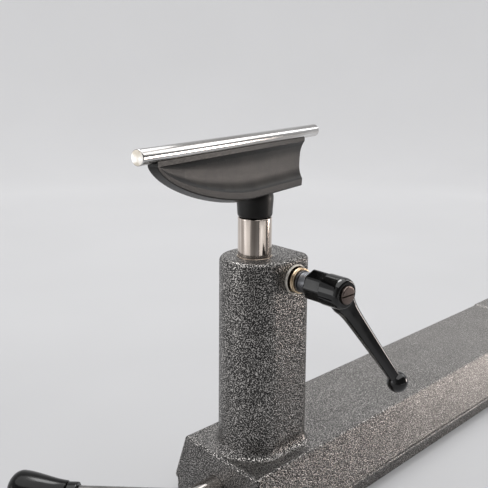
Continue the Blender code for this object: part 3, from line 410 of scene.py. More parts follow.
def column_ring(z, grow):
    """Outline of the column at a height: round front, flat sides and back, round back corners."""
    grow += COLUMN_DRAFT * (COLUMN_TOP - z)
    radius = COLUMN_R + grow
    corner = COLUMN_CORNER_R + grow
    inner = COLUMN_BACK + grow - corner
    outline = arc(0.0, 0.0, radius, 90, 270, 64)
    outline += arc(inner, corner - radius, corner, -90, 0, 14)
    outline += arc(inner, radius - corner, corner, 0, 90, 14)
    return [(x, y, z) for x, y in outline]


def column_body(finish):
    fillet = [(COLUMN_FOOT_R * (1 - math.cos(a)), COLUMN_FOOT_R * (1 - math.sin(a)))
              for a in [math.radians(between(6, 90, i / 10)) for i in range(11)]]
    rings = [column_ring(ARM_TOP - COLUMN_ROOT, fillet[0][1])]
    rings += [column_ring(ARM_TOP + rise, grow) for rise, grow in fillet]
    for i in range(11):
        a = math.radians(9 * i)
        rings.append(column_ring(COLUMN_TOP - COLUMN_TOP_R * (1 - math.sin(a)),
                                 -COLUMN_TOP_R * (1 - math.cos(a))))
    return skinned("column", rings, finish)


def bore(name, radius, low, high, place, finish):
    return turned(name, [(0, high), (radius, high), (radius, low), (0, low)], place, finish)


paint = hammered_paint()
bored_iron = bare_iron("bored_iron", (0.95, 0.92, 0.86, 1), 0.5, (1, 14, 1))
milled_iron = bare_iron("milled_iron", (0.42, 0.40, 0.37, 1), 0.38, (0.4, 9, 1))
cored_iron = raw_casting()
holder = arm_body(paint)
carve(holder, column_body(paint), 'UNION')
hollow_rings = [[(x, y, z) for y, z in ((-HOLLOW_FOOT_HALF - HOLLOW_SPLAY, -CUT_PAST),
                                        (HOLLOW_FOOT_HALF + HOLLOW_SPLAY, -CUT_PAST),
                                        (HOLLOW_TOP_HALF, HOLLOW_TOP), (-HOLLOW_TOP_HALF, HOLLOW_TOP))]
                for x in (HOLLOW_FRONT, HOLLOW_BACK)]
carve(holder, skinned("hollow", hollow_rings, cored_iron))
carve(holder, block("grooves", (HOLLOW_FRONT, -GROOVE_HALF, GROOVE_FLOOR),
                    (HOLLOW_BACK, GROOVE_HALF, GROOVE_TOP), milled_iron))
carve(holder, block("plate_notch", (HOLLOW_FRONT, -GROOVE_HALF, -CUT_PAST),
                    (NOTCH_END, GROOVE_HALF, GROOVE_TOP - NOTCH_SHORT), milled_iron))
post_bore = [(0, COLUMN_TOP + CUT_PAST), (POST_BORE_R + POST_BORE_CHAMFER, COLUMN_TOP + CUT_PAST),
             (POST_BORE_R + POST_BORE_CHAMFER, COLUMN_TOP), (POST_BORE_R, COLUMN_TOP - POST_BORE_CHAMFER),
             (POST_BORE_R, POST_BORE_FLOOR), (0, POST_BORE_FLOOR)]
carve(holder, turned("post_bore", post_bore, Matrix.Identity(4), bored_iron))
rim_iron = pale_rim()
clamp_rim = [(0, CLAMP_RIM_OUT), (CLAMP_RIM_R, CLAMP_RIM_OUT), (CLAMP_RIM_R, CLAMP_FACE - CUT_PAST),
             (0, CLAMP_FACE - CUT_PAST)]
carve(holder, turned("clamp_rim", eased(clamp_rim, CLAMP_RIM_EASE), CLAMP_PLACE, rim_iron), 'UNION')
mouth = CLAMP_RIM_OUT + CUT_PAST
clamp_bore = [(0, mouth), (CLAMP_BORE_R + CLAMP_BORE_CHAMFER + CUT_PAST, mouth),
              (CLAMP_BORE_R, CLAMP_RIM_OUT - CLAMP_BORE_CHAMFER), (CLAMP_BORE_R, -CLAMP_BORE_FLOOR),
              (0, -CLAMP_BORE_FLOOR)]
carve(holder, turned("clamp_bore", clamp_bore, CLAMP_PLACE, bored_iron))
for low, high, radius in ((ARM_LOW.x - CUT_PAST, HOLLOW_FRONT + CUT_PAST, SHAFT_BORE_R),
                          (FRONT_SEAT_START, HOLLOW_FRONT + CUT_PAST, FRONT_SEAT_R),
                          (HOLLOW_BACK - CUT_PAST, ARM_HIGH.x + CUT_PAST, TAIL_SEAT_R)):
    carve(holder, bore("shaft_bore", radius, low, high, SHAFT_PLACE, bored_iron))
milled = holder.data.materials.find(milled_iron.name)
for face in holder.data.polygons:
    if face.normal.z < -0.99 and face.center.z < 0.0001:
        face.material_index = milled
hand_over(holder, "holder", "hammered_paint", "banjo_casting")


# Bushes: sintered bronze rings pressed into the front of the arm and its far end.
# They carry the two journals of the eccentric shaft.
BUSH_EASE = 0.0006
FRONT_BUSH_BORE = 0.0121
TAIL_BUSH_BORE = 0.0078


def along_arm(node):
    """Start and end along X, and radius, of a round node on the eccentric shaft's axis."""
    low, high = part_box(node)
    return low.x, high.x, (high.y - low.y) / 2


def sintered_bronze():
    finish, shader = new_finish("sintered_bronze", (0.45, 0.27, 0.12, 1), 0.42, 1.0)
    pores = grain(finish, 1400.0, 3.0)
    oil = grain(finish, 70.0, 3.0)
    tone = stops(finish, oil, [(0.3, (0.26, 0.15, 0.07, 1)), (0.65, (0.52, 0.33, 0.15, 1))])
    feed(finish, tone, shader, "Base Color")
    feed(finish, spread(finish, pores, 0.3, 0.7, 0.55, 0.32), shader, "Roughness")
    relief(finish, shader, pores, 0.35, 0.00015)
    return finish


bronze = sintered_bronze()
for name, node, hole in (("front_bush", "shaft_front_bush", FRONT_BUSH_BORE),
                         ("tail_bush", "shaft_tail_bush", TAIL_BUSH_BORE)):
    low, high, radius = along_arm(node)
    outline = eased([(hole, high), (radius, high), (radius, low), (hole, low)], BUSH_EASE)
    hand_over(turned(name, outline, SHAFT_PLACE, bronze), "holder", "bronze", node)


# Eccentric shaft: one ground steel bar, turned down off centre between its two journals.
# It runs the length of the arm in the bushes; its front end is cross-bored for the lever's rod.
SHAFT_LOW, SHAFT_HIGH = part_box("eccentric_shaft")
SHAFT_START = SHAFT_LOW.x
SHAFT_END = SHAFT_HIGH.x
SHAFT_R = 0.0118
JOURNAL_END = 0.064
CAM_R = 0.0085
CAM_THROW = 0.003
CAM_PHASE = math.radians(-55)
CAM_END = 0.441
CAM_RUNOUT = 0.004
TAIL_R = 0.0075
SHAFT_EASE = 0.001
CENTRE_R = 0.0022
CENTRE_DEPTH = 0.0030
ROD_AT = Vector((-0.050, SHAFT_Y, SHAFT_Z))
ROD_YAW = math.radians(131)
ROD_PITCH = math.radians(-2.5)
ROD_HOLE_R = 0.0063
ROD_HOLE_FLOOR = 0.0027
ROD_WAY = Vector((math.cos(ROD_PITCH) * math.cos(ROD_YAW), math.cos(ROD_PITCH) * math.sin(ROD_YAW),
                  math.sin(ROD_PITCH)))
ROD_PLACE = Matrix.Translation(ROD_AT) @ ROD_WAY.to_track_quat('Z', 'Y').to_matrix().to_4x4()


def ground_steel(name, stretch, color, turn=(0, 0, 0)):
    """Bright steel with long grinding streaks, faint stains and a few fine scratches."""
    finish, shader = new_finish(name, color, 0.2, 1.0)
    streaks = grain(finish, 60.0, 5.0, stretch, turn)
    bands = spread(finish, grain(finish, 22.0, 2.0, stretch, turn), 0.38, 0.6, 0.0, 1.0)
    stains = grain(finish, 55.0, 4.0)
    stained = tuple(part * share for part, share in zip(color, (0.82, 0.80, 0.78, 1)))
    ground = tuple(part * share for part, share in zip(color, (0.54, 0.52, 0.50, 1)))
    warm = blend_colors(finish, spread(finish, stains, 0.4, 0.68, 0, 0.7), color, stained)
    fine = times(finish, spread(finish, streaks, 0.3, 0.7, 0.3, 1.0), bands)
    feed(finish, blend_colors(finish, fine, ground, warm), shader, "Base Color")
    feed(finish, spread(finish, streaks, 0.3, 0.7, 0.17, 0.06), shader, "Roughness")
    relief(finish, shader, streaks, 0.12, 0.00006)
    return finish


def shaft_body(finish):
    stations = []
    for radius, x in eased([(0, SHAFT_START), (SHAFT_R, SHAFT_START), (SHAFT_R, JOURNAL_END)],
                           SHAFT_EASE, closed=False)[1:]:
        stations.append((x, radius, 0))
    stations += [(JOURNAL_END, CAM_R, 1), (CAM_END, CAM_R, 1), (CAM_END + CAM_RUNOUT, TAIL_R, 0)]
    for radius, x in eased([(TAIL_R, CAM_END + CAM_RUNOUT), (TAIL_R, SHAFT_END), (0, SHAFT_END)],
                           SHAFT_EASE, closed=False)[1:-1]:
        stations.append((x, radius, 0))
    off_y, off_z = CAM_THROW * math.cos(CAM_PHASE), CAM_THROW * math.sin(CAM_PHASE)
    rings = [[(x, SHAFT_Y + off_y * share + y, SHAFT_Z + off_z * share + z)
              for y, z in arc(0, 0, radius, 0, 356.25, 95)] for x, radius, share in stations]
    return skinned("eccentric_bar", rings, finish)


shaft_steel = ground_steel("ground_shaft_steel", (1, 14, 14), (0.74, 0.71, 0.69, 1))
shaft = shaft_body(shaft_steel)
carve(shaft, bore("rod_hole", ROD_HOLE_R, ROD_HOLE_FLOOR, 2 * SHAFT_R, ROD_PLACE, shaft_steel))
for end, inward in ((SHAFT_START, 1), (SHAFT_END, -1)):
    cone = [(0, end - inward * CUT_PAST), (CENTRE_R, end - inward * CUT_PAST), (CENTRE_R, end),
            (0, end + inward * CENTRE_DEPTH)]
    carve(shaft, turned("centre_hole", cone, SHAFT_PLACE, shaft_steel))
hand_over(shaft, "cam_shaft", "ground_steel", "eccentric_shaft")


# Collar and grub screw: the blackened collar stops the shaft from sliding out of the arm.
# Its grub screw stands on the front journal, behind the front bush.
def dark_steel(name, color, roughness):
    """Oiled, blackened steel with fine tool marks and worn grey patches."""
    finish, shader = new_finish(name, color, roughness, 1.0)
    wear = grain(finish, 160.0, 5.0)
    marks = grain(finish, 900.0, 2.0)
    worn = tuple(min(2.1 * part, 1.0) for part in color[:3]) + (1.0,)
    feed(finish, blend_colors(finish, spread(finish, wear, 0.42, 0.72, 0, 1), color, worn), shader,
         "Base Color")
    feed(finish, spread(finish, wear, 0.3, 0.7, roughness + 0.1, roughness - 0.1), shader, "Roughness")
    relief(finish, shader, marks, 0.12, 0.00008)
    return finish


def refinish(node, finish):
    """New finish on a node whose shape stays."""
    mesh = nodes[node].data
    if not mesh.materials:
        mesh.materials.append(finish)
    for slot in nodes[node].material_slots:
        slot.material = finish


black_steel = dark_steel("blackened_steel", (0.09, 0.088, 0.09, 1), 0.4)
refinish("shaft_collar", black_steel)
refinish("collar_grub_screw", black_steel)


# Yoke and guide plate: milled steel; the plate slides in the arm's grooves and keeps the yoke upright.
# The eccentric runs through the yoke's oblong hole and lifts it to draw up the clamp under the bed.
yoke_steel = dark_steel("milled_yoke_steel", (0.20, 0.19, 0.18, 1), 0.42)
plate_steel = bare_iron("sawn_plate_steel", (0.30, 0.285, 0.27, 1), 0.42, (9, 0.5, 1))
refinish("clamp_yoke", yoke_steel)
refinish("yoke_guide_plate", plate_steel)


# Lever of the eccentric shaft: a steel rod driven into the shaft, with a black ferrule and grip.
# The grip is moulded plastic, swelling to a round end, and is pushed onto the rod's tang.
ROD_R = 0.006
ROD_SEAT = 0.003
ROD_EASE = 0.001
TANG_R = 0.004
TANG_END = 0.1408
FERRULE_START = 0.100
FERRULE_END = 0.1085
FERRULE_R = 0.0088
FERRULE_EASE = 0.0012
GRIP_START = 0.1088
GRIP_LENGTH = 0.048
GRIP_ROOT_R = 0.0096
GRIP_R = 0.0166
GRIP_BULGE_AT = 0.037
GRIP_EASE = 0.6
GRIP_END_POWER = 0.8
GRIP_EDGE = 0.0006
FIT = 0.0003


def gloss_black(name, roughness, peel, shine):
    """Gloss black coating with a faint orange-peel skin and handling marks."""
    finish, shader = new_finish(name, (0.006, 0.006, 0.0065, 1), roughness, 0.0)
    smears = grain(finish, 90.0, 4.0)
    skin = grain(finish, 420.0, 1.0)
    tone = stops(finish, smears, [(0.35, (0.002, 0.002, 0.0022, 1)), (0.7, (0.005, 0.0048, 0.0045, 1))])
    feed(finish, tone, shader, "Base Color")
    feed(finish, spread(finish, smears, 0.35, 0.7, roughness, roughness + 0.08), shader, "Roughness")
    relief(finish, shader, skin, peel, 0.0001)
    shader.inputs["Specular IOR Level"].default_value = shine
    return finish


def grip_outline():
    swell = [(GRIP_ROOT_R - GRIP_EDGE, 0.0), (GRIP_ROOT_R, GRIP_EDGE)]
    for i in range(1, 17):
        part = i / 16
        ease = between(part, part * part * (3 - 2 * part), GRIP_EASE)
        swell.append((between(GRIP_ROOT_R, GRIP_R, ease), GRIP_BULGE_AT * part))
    for i in range(1, 16):
        a = math.radians(6 * i)
        swell.append((GRIP_R * math.cos(a) ** GRIP_END_POWER,
                      between(GRIP_BULGE_AT, GRIP_LENGTH, math.sin(a))))
    swell[-1] = (0.0, GRIP_LENGTH)
    outer = [(r, GRIP_START + x) for r, x in swell]
    return [(0, TANG_END + FIT), (TANG_R + FIT, TANG_END + FIT), (TANG_R + FIT, GRIP_START)] + outer


rod_outline = eased([(0, TANG_END), (TANG_R, TANG_END), (TANG_R, FERRULE_START - FIT),
                     (ROD_R, FERRULE_START - FIT), (ROD_R, ROD_SEAT), (0, ROD_SEAT)], ROD_EASE)
rod_steel = dark_steel("drawn_rod_steel", (0.16, 0.155, 0.15, 1), 0.32)
hand_over(turned("lever_rod", rod_outline, ROD_PLACE, rod_steel), "cam_shaft", "ground_steel",
          "cam_lever_rod")
ferrule_outline = eased([(TANG_R + FIT, FERRULE_END), (FERRULE_R, FERRULE_END), (FERRULE_R, FERRULE_START),
                         (TANG_R + FIT, FERRULE_START)], FERRULE_EASE)
lacquer = gloss_black("gloss_black_lacquer", 0.14, 0.05, 0.4)
hand_over(turned("ferrule", ferrule_outline, ROD_PLACE, lacquer), "cam_shaft", "gloss_black_metal",
          "grip_ferrule")
moulding = gloss_black("gloss_black_moulding", 0.14, 0.03, 0.25)
hand_over(turned("lever_grip", grip_outline(), ROD_PLACE, moulding), "cam_shaft", "gloss_black_plastic",
          "cam_lever_grip")


# Post clamp: two brass cotters on a steel stud, each hollowed to fit round the post.
# The stud is screwed into the inner cotter, and draws the outer one in against the post.
COTTER_R = 0.00975
COTTER_OUT = 0.0330
COTTER_SPLIT = 0.004
COTTER_EASE = 0.0008
COTTER_GROOVE = 0.0006
COTTER_GROOVE_AT = 0.0312
COTTER_NECK = (0.0252, 0.0296)  # relief between the column and the outer end
COTTER_NECK_DEPTH = 0.0014
STUD_BORE_R = 0.0043
POST_R = 0.0127
WASHER_R = 0.0085
WASHER_IN = 0.0333
WASHER_OUT = 0.0349
WASHER_EASE = 0.0004


def turned_brass():
    """Brass with fine turning rings, browned by handling."""
    finish, shader = new_finish("turned_brass", (0.62, 0.42, 0.20, 1), 0.28, 1.0)
    rings = grain(finish, 70.0, 3.0, (1, 30, 1))
    tarnish = grain(finish, 130.0, 4.0)
    tone = stops(finish, tarnish, [(0.32, (0.52, 0.38, 0.24, 1)), (0.55, (0.78, 0.62, 0.43, 1)),
                                   (0.75, (0.84, 0.70, 0.52, 1))])
    feed(finish, tone, shader, "Base Color")
    feed(finish, spread(finish, rings, 0.3, 0.7, 0.38, 0.2), shader, "Roughness")
    relief(finish, shader, rings, 0.2, 0.00008)
    return finish


brass = turned_brass()
# Near-black finish for the cotter's recessed neck and the screw's slot: painted shade in both recesses.
painted_recess_shade = dark_steel("painted_recess_shade", (0.05, 0.04, 0.03, 1), 0.5)
cotter_outline = [(STUD_BORE_R, COTTER_OUT), (COTTER_R, COTTER_OUT),
                  (COTTER_R, COTTER_GROOVE_AT + COTTER_GROOVE), (COTTER_R - COTTER_GROOVE, COTTER_GROOVE_AT),
                  (COTTER_R, COTTER_GROOVE_AT - COTTER_GROOVE), (COTTER_R, COTTER_NECK[1]),
                  (COTTER_R - COTTER_NECK_DEPTH, COTTER_NECK[1]),
                  (COTTER_R - COTTER_NECK_DEPTH, COTTER_NECK[0]),
                  (COTTER_R, COTTER_NECK[0]), (COTTER_R, COTTER_SPLIT), (STUD_BORE_R, COTTER_SPLIT)]
cotter = turned("outer_cotter", eased(cotter_outline, COTTER_EASE), CLAMP_PLACE, brass)
carve(cotter, bore("post_space", POST_R + FIT, CLAMP_Z - 2 * COTTER_R, CLAMP_Z + 2 * COTTER_R,
                   Matrix.Identity(4), brass))
# The faces of the cotter's recessed neck take the near-black finish: painted shade in the recess.
cotter.data.materials.append(painted_recess_shade)
for face in cotter.data.polygons:
    out = -face.center.y
    reach = math.hypot(face.center.x - CLAMP_X, face.center.z - CLAMP_Z)
    if COTTER_NECK[0] <= out <= COTTER_NECK[1] and reach < COTTER_R - COTTER_NECK_DEPTH / 2:
        face.material_index = len(cotter.data.materials) - 1
hand_over(cotter, "holder", "brass", "cotter_outer")
refinish("cotter_inner", brass)
refinish("clamp_stud", black_steel)
washer_outline = eased([(STUD_BORE_R, WASHER_OUT), (WASHER_R, WASHER_OUT), (WASHER_R, WASHER_IN),
                        (STUD_BORE_R, WASHER_IN)], WASHER_EASE)
hand_over(turned("washer", washer_outline, CLAMP_PLACE, black_steel), "post_clamp", "dark_steel",
          "thrust_washer")


# Insert of the indexing lever: turned steel, with a ring of teeth that the lever's hub drops over.
# It is screwed tight on the stud; its plain neck shows between washer and hub.
INSERT_IN = 0.0352
NECK_R = 0.008
NECK_OUT = 0.0432
NECK_EASE = 0.0006
INSERT_OUT = 0.0600
STUD_END = 0.0492
SCREW_HOLE_END = 0.0507
SCREW_HOLE_R = 0.0031
TOOTH_COUNT = 16
TOOTH_ROOT_R = 0.0066
TOOTH_TIP_R = 0.0075
TOOTH_OUT = 0.0464
TOOTH_STEPS = ((0.0, 0), (0.25, 0), (0.4, 1), (0.85, 1))
TOOTH_EASE = 0.0004
TOOTH_LAP = 0.0001            # the ring of teeth overlaps the body by this much


def tooth_ring(height, clearance, tip):
    points = []
    for i in range(TOOTH_COUNT):
        for step, share in TOOTH_STEPS:
            angle = 2 * math.pi * (i + step) / TOOTH_COUNT
            radius = between(TOOTH_ROOT_R, tip, share) + clearance
            points.append(CLAMP_PLACE @ Vector((radius * math.cos(angle), radius * math.sin(angle), height)))
    return points


neck_steel = dark_steel("neck_steel", (0.23, 0.235, 0.25, 1), 0.3)
body_r = TOOTH_ROOT_R - TOOTH_LAP
insert_outline = [(0, SCREW_HOLE_END), (SCREW_HOLE_R, SCREW_HOLE_END), (SCREW_HOLE_R, INSERT_OUT),
                  (body_r, INSERT_OUT), (body_r, NECK_OUT), (NECK_R, NECK_OUT), (NECK_R, INSERT_IN),
                  (STUD_BORE_R, INSERT_IN), (STUD_BORE_R, STUD_END), (0, STUD_END)]
insert = turned("toothed_insert", eased(insert_outline, NECK_EASE), CLAMP_PLACE, neck_steel)
teeth = [tooth_ring(NECK_OUT - TOOTH_EASE, 0, TOOTH_TIP_R),
         tooth_ring(TOOTH_OUT - TOOTH_EASE, 0, TOOTH_TIP_R),
         tooth_ring(TOOTH_OUT, 0, TOOTH_TIP_R - TOOTH_EASE)]
crown = skinned("crown", teeth, neck_steel)
carve(crown, bore("stud_space", STUD_BORE_R + FIT, INSERT_IN, TOOTH_OUT + CUT_PAST, CLAMP_PLACE, neck_steel))
carve(insert, crown, 'UNION')
hand_over(insert, "post_clamp", "dark_steel", "lever_insert")


# Indexing lever: die-cast zinc, coated gloss black; a hub with eight flats on its skirt, a tapered
# arm and a ball. It is pulled out against a spring to turn it on the insert's teeth.
HUB_IN = 0.0435
HUB_OUT = 0.0750
HUB_R = 0.0116
HUB_SKIRT = 0.0150
HUB_FACETS = 8
HUB_FACET_STEPS = 12
HUB_FACET_DROP = 0.0007
HUB_EDGE = 0.0012
HUB_MOUTH_R = 0.0092
HUB_CHAMFER = 0.0042
WEB_IN = 0.0615
WEB_OUT = 0.0645
HEAD_R = 0.0068
LEVER_ANGLE = math.radians(-55.9)
LEVER_REACH = 0.0968
LEVER_START = 0.004
LEVER_ROOT_AT = 0.066
LEVER_RAKE = 0.0190
LEVER_ROOT_SIZE = (0.0138, 0.0115)
LEVER_TIP_SIZE = (0.0082, 0.0072)
LEVER_ROUND = (0.62, 0.8)     # rounding, as shares of half the width and half the thickness
LEVER_FLARE = 0.0022          # half width added where the arm leaves the hub
LEVER_FLARE_AT = 0.09
LEVER_FLARE_FADE = 0.055
BALL_R = 0.00815


def hub_ring(height, radius, flat):
    """Ring of the hub, its radius held down to the flats on the skirt."""
    points = []
    count = HUB_FACETS * HUB_FACET_STEPS
    for i in range(count):
        angle = 2 * math.pi * i / count
        swing = (angle % (2 * math.pi / HUB_FACETS)) - math.pi / HUB_FACETS
        reach = min(radius, (radius - flat) / math.cos(swing)) if flat else radius
        points.append(CLAMP_PLACE @ Vector((reach * math.cos(angle), reach * math.sin(angle), height)))
    return points


def hub_body(finish):
    skirt = HUB_IN + HUB_SKIRT
    rings = []
    for i in range(5):
        a = math.radians(22.5 * i)
        rings.append(hub_ring(HUB_IN + HUB_EDGE * (1 - math.cos(a)), HUB_R - HUB_EDGE * (1 - math.sin(a)),
                              HUB_FACET_DROP))
    rings.append(hub_ring(skirt - HUB_FACET_DROP, HUB_R, HUB_FACET_DROP))
    rings.append(hub_ring(skirt, HUB_R, 0.0))
    for i in range(9):
        a = math.radians(11.25 * i)
        rings.append(hub_ring(HUB_OUT - HUB_CHAMFER * (1 - math.sin(a)),
                              HUB_R - (HUB_R - HUB_MOUTH_R) * (1 - math.cos(a)), 0.0))
    return skinned("clamp_lever", rings, finish)


def lever_arm(finish):
    """Tapered arm with rounded long edges, flaring where it leaves the hub."""
    out = Vector((math.cos(LEVER_ANGLE), math.sin(LEVER_ANGLE), 0.0))
    foot = Vector((0, 0, LEVER_ROOT_AT)) + out * LEVER_START
    ball = Vector((0, 0, LEVER_ROOT_AT + LEVER_RAKE)) + out * LEVER_REACH
    across = Vector((-out.y, out.x, 0.0))
    deep = across.cross((ball - foot).normalized())
    rings = []
    for i in range(25):
        part = i / 24
        flare = LEVER_FLARE * math.exp(-max(part - LEVER_FLARE_AT, 0.0) / LEVER_FLARE_FADE)
        half_w = between(LEVER_ROOT_SIZE[0], LEVER_TIP_SIZE[0], part) / 2 + flare
        half_t = between(LEVER_ROOT_SIZE[1], LEVER_TIP_SIZE[1], part) / 2 + flare * 0.5
        round_w, round_t = half_w * LEVER_ROUND[0], half_t * LEVER_ROUND[1]
        outline = []
        for x, y, start in ((1, -1, -90), (1, 1, 0), (-1, 1, 90), (-1, -1, 180)):
            outline += [(x * (half_w - round_w) + round_w * u, y * (half_t - round_t) + round_t * v)
                        for u, v in arc(0, 0, 1, start, start + 90, 7)]
        middle = foot.lerp(ball, part)
        rings.append([CLAMP_PLACE @ (middle + across * x + deep * y) for x, y in outline])
    return skinned("lever_arm", rings, finish), CLAMP_PLACE @ ball


def lever_ball(centre, finish):
    bm = bmesh.new()
    bmesh.ops.create_uvsphere(bm, u_segments=48, v_segments=28, radius=BALL_R,
                              matrix=Matrix.Translation(centre))
    return mesh_piece("lever_ball", bm, finish)


lever_black = gloss_black("gloss_black_coating", 0.06, 0.05, 0.5)
handle = hub_body(lever_black)
arm_piece, ball_centre = lever_arm(lever_black)
carve(handle, arm_piece, 'UNION')
carve(handle, lever_ball(ball_centre, lever_black), 'UNION')
hub_bore = [(0, HUB_OUT + CUT_PAST), (HEAD_R + FIT, HUB_OUT + CUT_PAST), (HEAD_R + FIT, WEB_OUT),
            (SCREW_HOLE_R + FIT, WEB_OUT), (SCREW_HOLE_R + FIT, WEB_IN), (TOOTH_TIP_R + FIT, WEB_IN),
            (TOOTH_TIP_R + FIT, TOOTH_OUT + FIT), (0, TOOTH_OUT + FIT)]
carve(handle, turned("hub_bore", hub_bore, CLAMP_PLACE, lever_black))
hub_teeth = [tooth_ring(height, FIT, TOOTH_TIP_R) for height in (HUB_IN - CUT_PAST, TOOTH_OUT + 2 * FIT)]
carve(handle, skinned("hub_teeth", hub_teeth, lever_black))
hand_over(handle, "clamp_lever", "gloss_black_metal", "lever_handle", sharp=28)


# Spring and screw of the lever: a short coil of spring wire under a slotted cheese-head screw.
# The screw goes through the hub into the insert and holds the lever on.
HEAD_IN = 0.0720
HEAD_OUT = 0.0770
HEAD_EASE = 0.0012
SCREW_R = 0.0028
SCREW_END = 0.0513
SLOT_W = 0.0012
SPRING_WIRE_R = 0.0004
SPRING_TURNS = 2.75
SPRING_STEPS = 24             # points to a turn of the coil
SPRING_WIRE_STEPS = 10
SPRING_PLAY = 0.0003          # between the coil's ends and what they press on


def spring_coil(finish):
    """Open coil of round wire between the hub's web and the screw's head."""
    middle = (SCREW_R + HEAD_R) / 2
    end_gap = SPRING_PLAY + SPRING_WIRE_R
    count = int(SPRING_TURNS * SPRING_STEPS)
    rings = []
    for i in range(count + 1):
        angle = 2 * math.pi * SPRING_TURNS * i / count
        height = between(WEB_OUT + end_gap, HEAD_IN - end_gap, i / count)
        section = arc(middle, height, SPRING_WIRE_R, 0, 360, SPRING_WIRE_STEPS)[:-1]
        rings.append([CLAMP_PLACE @ Vector((r * math.cos(angle), r * math.sin(angle), z))
                      for r, z in section])
    return skinned("spring_coil", rings, finish)


spring = spring_coil(dark_steel("spring_wire", (0.25, 0.25, 0.26, 1), 0.28))
hand_over(spring, "clamp_lever", "dark_steel", "lever_spring")
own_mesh(spring)
screw_steel = dark_steel("browned_screw_steel", (0.11, 0.088, 0.08, 1), 0.34)
screw_outline = eased([(0, HEAD_OUT), (HEAD_R, HEAD_OUT), (HEAD_R, HEAD_IN), (SCREW_R, HEAD_IN),
                       (SCREW_R, SCREW_END), (0, SCREW_END)], HEAD_EASE)
screw = turned("slotted_screw", screw_outline, CLAMP_PLACE, screw_steel)
# The slot's faces take the near-black finish of the cotter's neck: painted shade in the slot.
slot_tool = block("slot", (-2 * HEAD_R, -SLOT_W / 2, HEAD_OUT - SLOT_W),
                  (2 * HEAD_R, SLOT_W / 2, HEAD_OUT + SLOT_W), painted_recess_shade)
slot_tool.matrix_world = CLAMP_PLACE
carve(screw, slot_tool)
hand_over(screw, "post_clamp", "dark_steel", "lever_screw")


# Post: ground steel bar, turned to a spigot at its top for the rest's boss.
# It slides and turns in the column until the cotters grip it.
POST_LOW, POST_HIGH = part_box("tool_rest_post")
SPIGOT_R = 0.008
SPIGOT_LENGTH = 0.020
POST_EASE = 0.0008
post_steel = ground_steel("ground_post_steel", (16, 16, 0.6), (0.92, 0.83, 0.76, 1))
post_top = POST_HIGH.z - SPIGOT_LENGTH
post_outline = eased([(0, POST_HIGH.z), (SPIGOT_R, POST_HIGH.z), (SPIGOT_R, post_top), (POST_R, post_top),
                      (POST_R, POST_LOW.z), (0, POST_LOW.z)], POST_EASE)
hand_over(turned("rest_post", post_outline, Matrix.Identity(4), post_steel, 128), "post", "ground_steel",
          "tool_rest_post")


# Rest casting: thin iron casting in satin black paint, coved in front with a lip along its foot.
# A boss behind it takes the post's spigot; the bar lies in a groove along its top.
REST_TURN = 0.23
BAR_R = 0.00476
BAR_LEFT = -0.1354
BAR_RIGHT = 0.0678
BAR_FRONT = 0.0105
BAR_Z = 0.2981
BLADE_LEFT = -0.1228
BLADE_RIGHT = 0.0466
BLADE_FLAT_LEFT = -0.020
BLADE_CURVE = 1.5
BLADE_DEPTH = 0.0435
BLADE_BACK = 0.0070
SEAT_DEPTH = 0.0021
NECK_HALF = 0.0039
NECK_DEPTH = 0.00626
COVE_DEPTH = 0.0034
COVE_POWER = 3.0              # over 2, the cove turns out more sharply at the lip
LIP_REACH = 0.0026
LIP_HEIGHT = 0.0056
LIP_RISE = 0.0028
LIP_ROUND = 0.0007
LIP_LEAST = 0.4
BOSS_R = 0.0129
BOSS_TOP_R = 0.0138
BOSS_LOW = 0.2400
BOSS_FLARE_START = 0.006
BOSS_SHOULDER = 0.004
BOSS_SHOULDER_IN = 0.001
BOSS_EASE = 0.002
BUTTRESS_DROP = 0.014
BUTTRESS_TOP_R = 0.004
REST_PLACE = Matrix.Rotation(REST_TURN, 4, 'Z')
BAR_PLACE = REST_PLACE @ Matrix.Translation((0, -BAR_FRONT, BAR_Z)) @ ALONG


def satin_paint(name, bare, dusty):
    """Satin black paint with a fine powdery skin and brown wood dust in faint clouds."""
    finish, shader = new_finish(name, bare, 0.4, 0.0)
    skin = grain(finish, 900.0, 2.0)
    dust = grain(finish, 60.0, 4.0)
    feed(finish, stops(finish, dust, [(0.3, bare), (0.7, dusty)]), shader, "Base Color")
    feed(finish, spread(finish, skin, 0.3, 0.7, 0.30, 0.44), shader, "Roughness")
    relief(finish, shader, skin, 0.18, 0.00012)
    shader.inputs["Specular IOR Level"].default_value = 0.25
    return finish


def blade_ring(along):
    """Section of the casting across the bar: coved front, rounded lip at the foot, plain back."""
    reach = max(BLADE_FLAT_LEFT - along, 0.0) / (BLADE_FLAT_LEFT - BLADE_LEFT)
    share = (1 - min(reach, 1.0) ** BLADE_CURVE) ** (1 / BLADE_CURVE)
    lip_share = between(LIP_LEAST, 1.0, share)
    depth = between(NECK_DEPTH, BLADE_DEPTH, share)
    lip_low = depth - LIP_RISE * share
    lip_top = max(lip_low - LIP_HEIGHT * lip_share, NECK_DEPTH)
    front = between(NECK_HALF, LIP_REACH, share)
    back = between(NECK_HALF, BLADE_BACK, share)
    edge = LIP_ROUND * lip_share
    section = [(-NECK_HALF, SEAT_DEPTH)]
    for i in range(25):
        part = i / 24
        hollowed = COVE_DEPTH * share * (1 - abs(2 * part - 1) ** COVE_POWER)
        section.append((hollowed - between(NECK_HALF, front, part), between(NECK_DEPTH, lip_top, part)))
    lip = [(-front, lip_top + edge / 3), (-front + edge / 3, lip_low - edge), (-front + edge, lip_low),
           (back - edge, depth), (back, depth - edge)]
    section += [lip[0]] + eased(lip, edge * 0.6, 3, closed=False)[1:-1] + [lip[-1]]
    section += [(NECK_HALF, NECK_DEPTH), (NECK_HALF, SEAT_DEPTH)]
    return [REST_PLACE @ Vector((along, n - BAR_FRONT, BAR_Z - d)) for n, d in section]


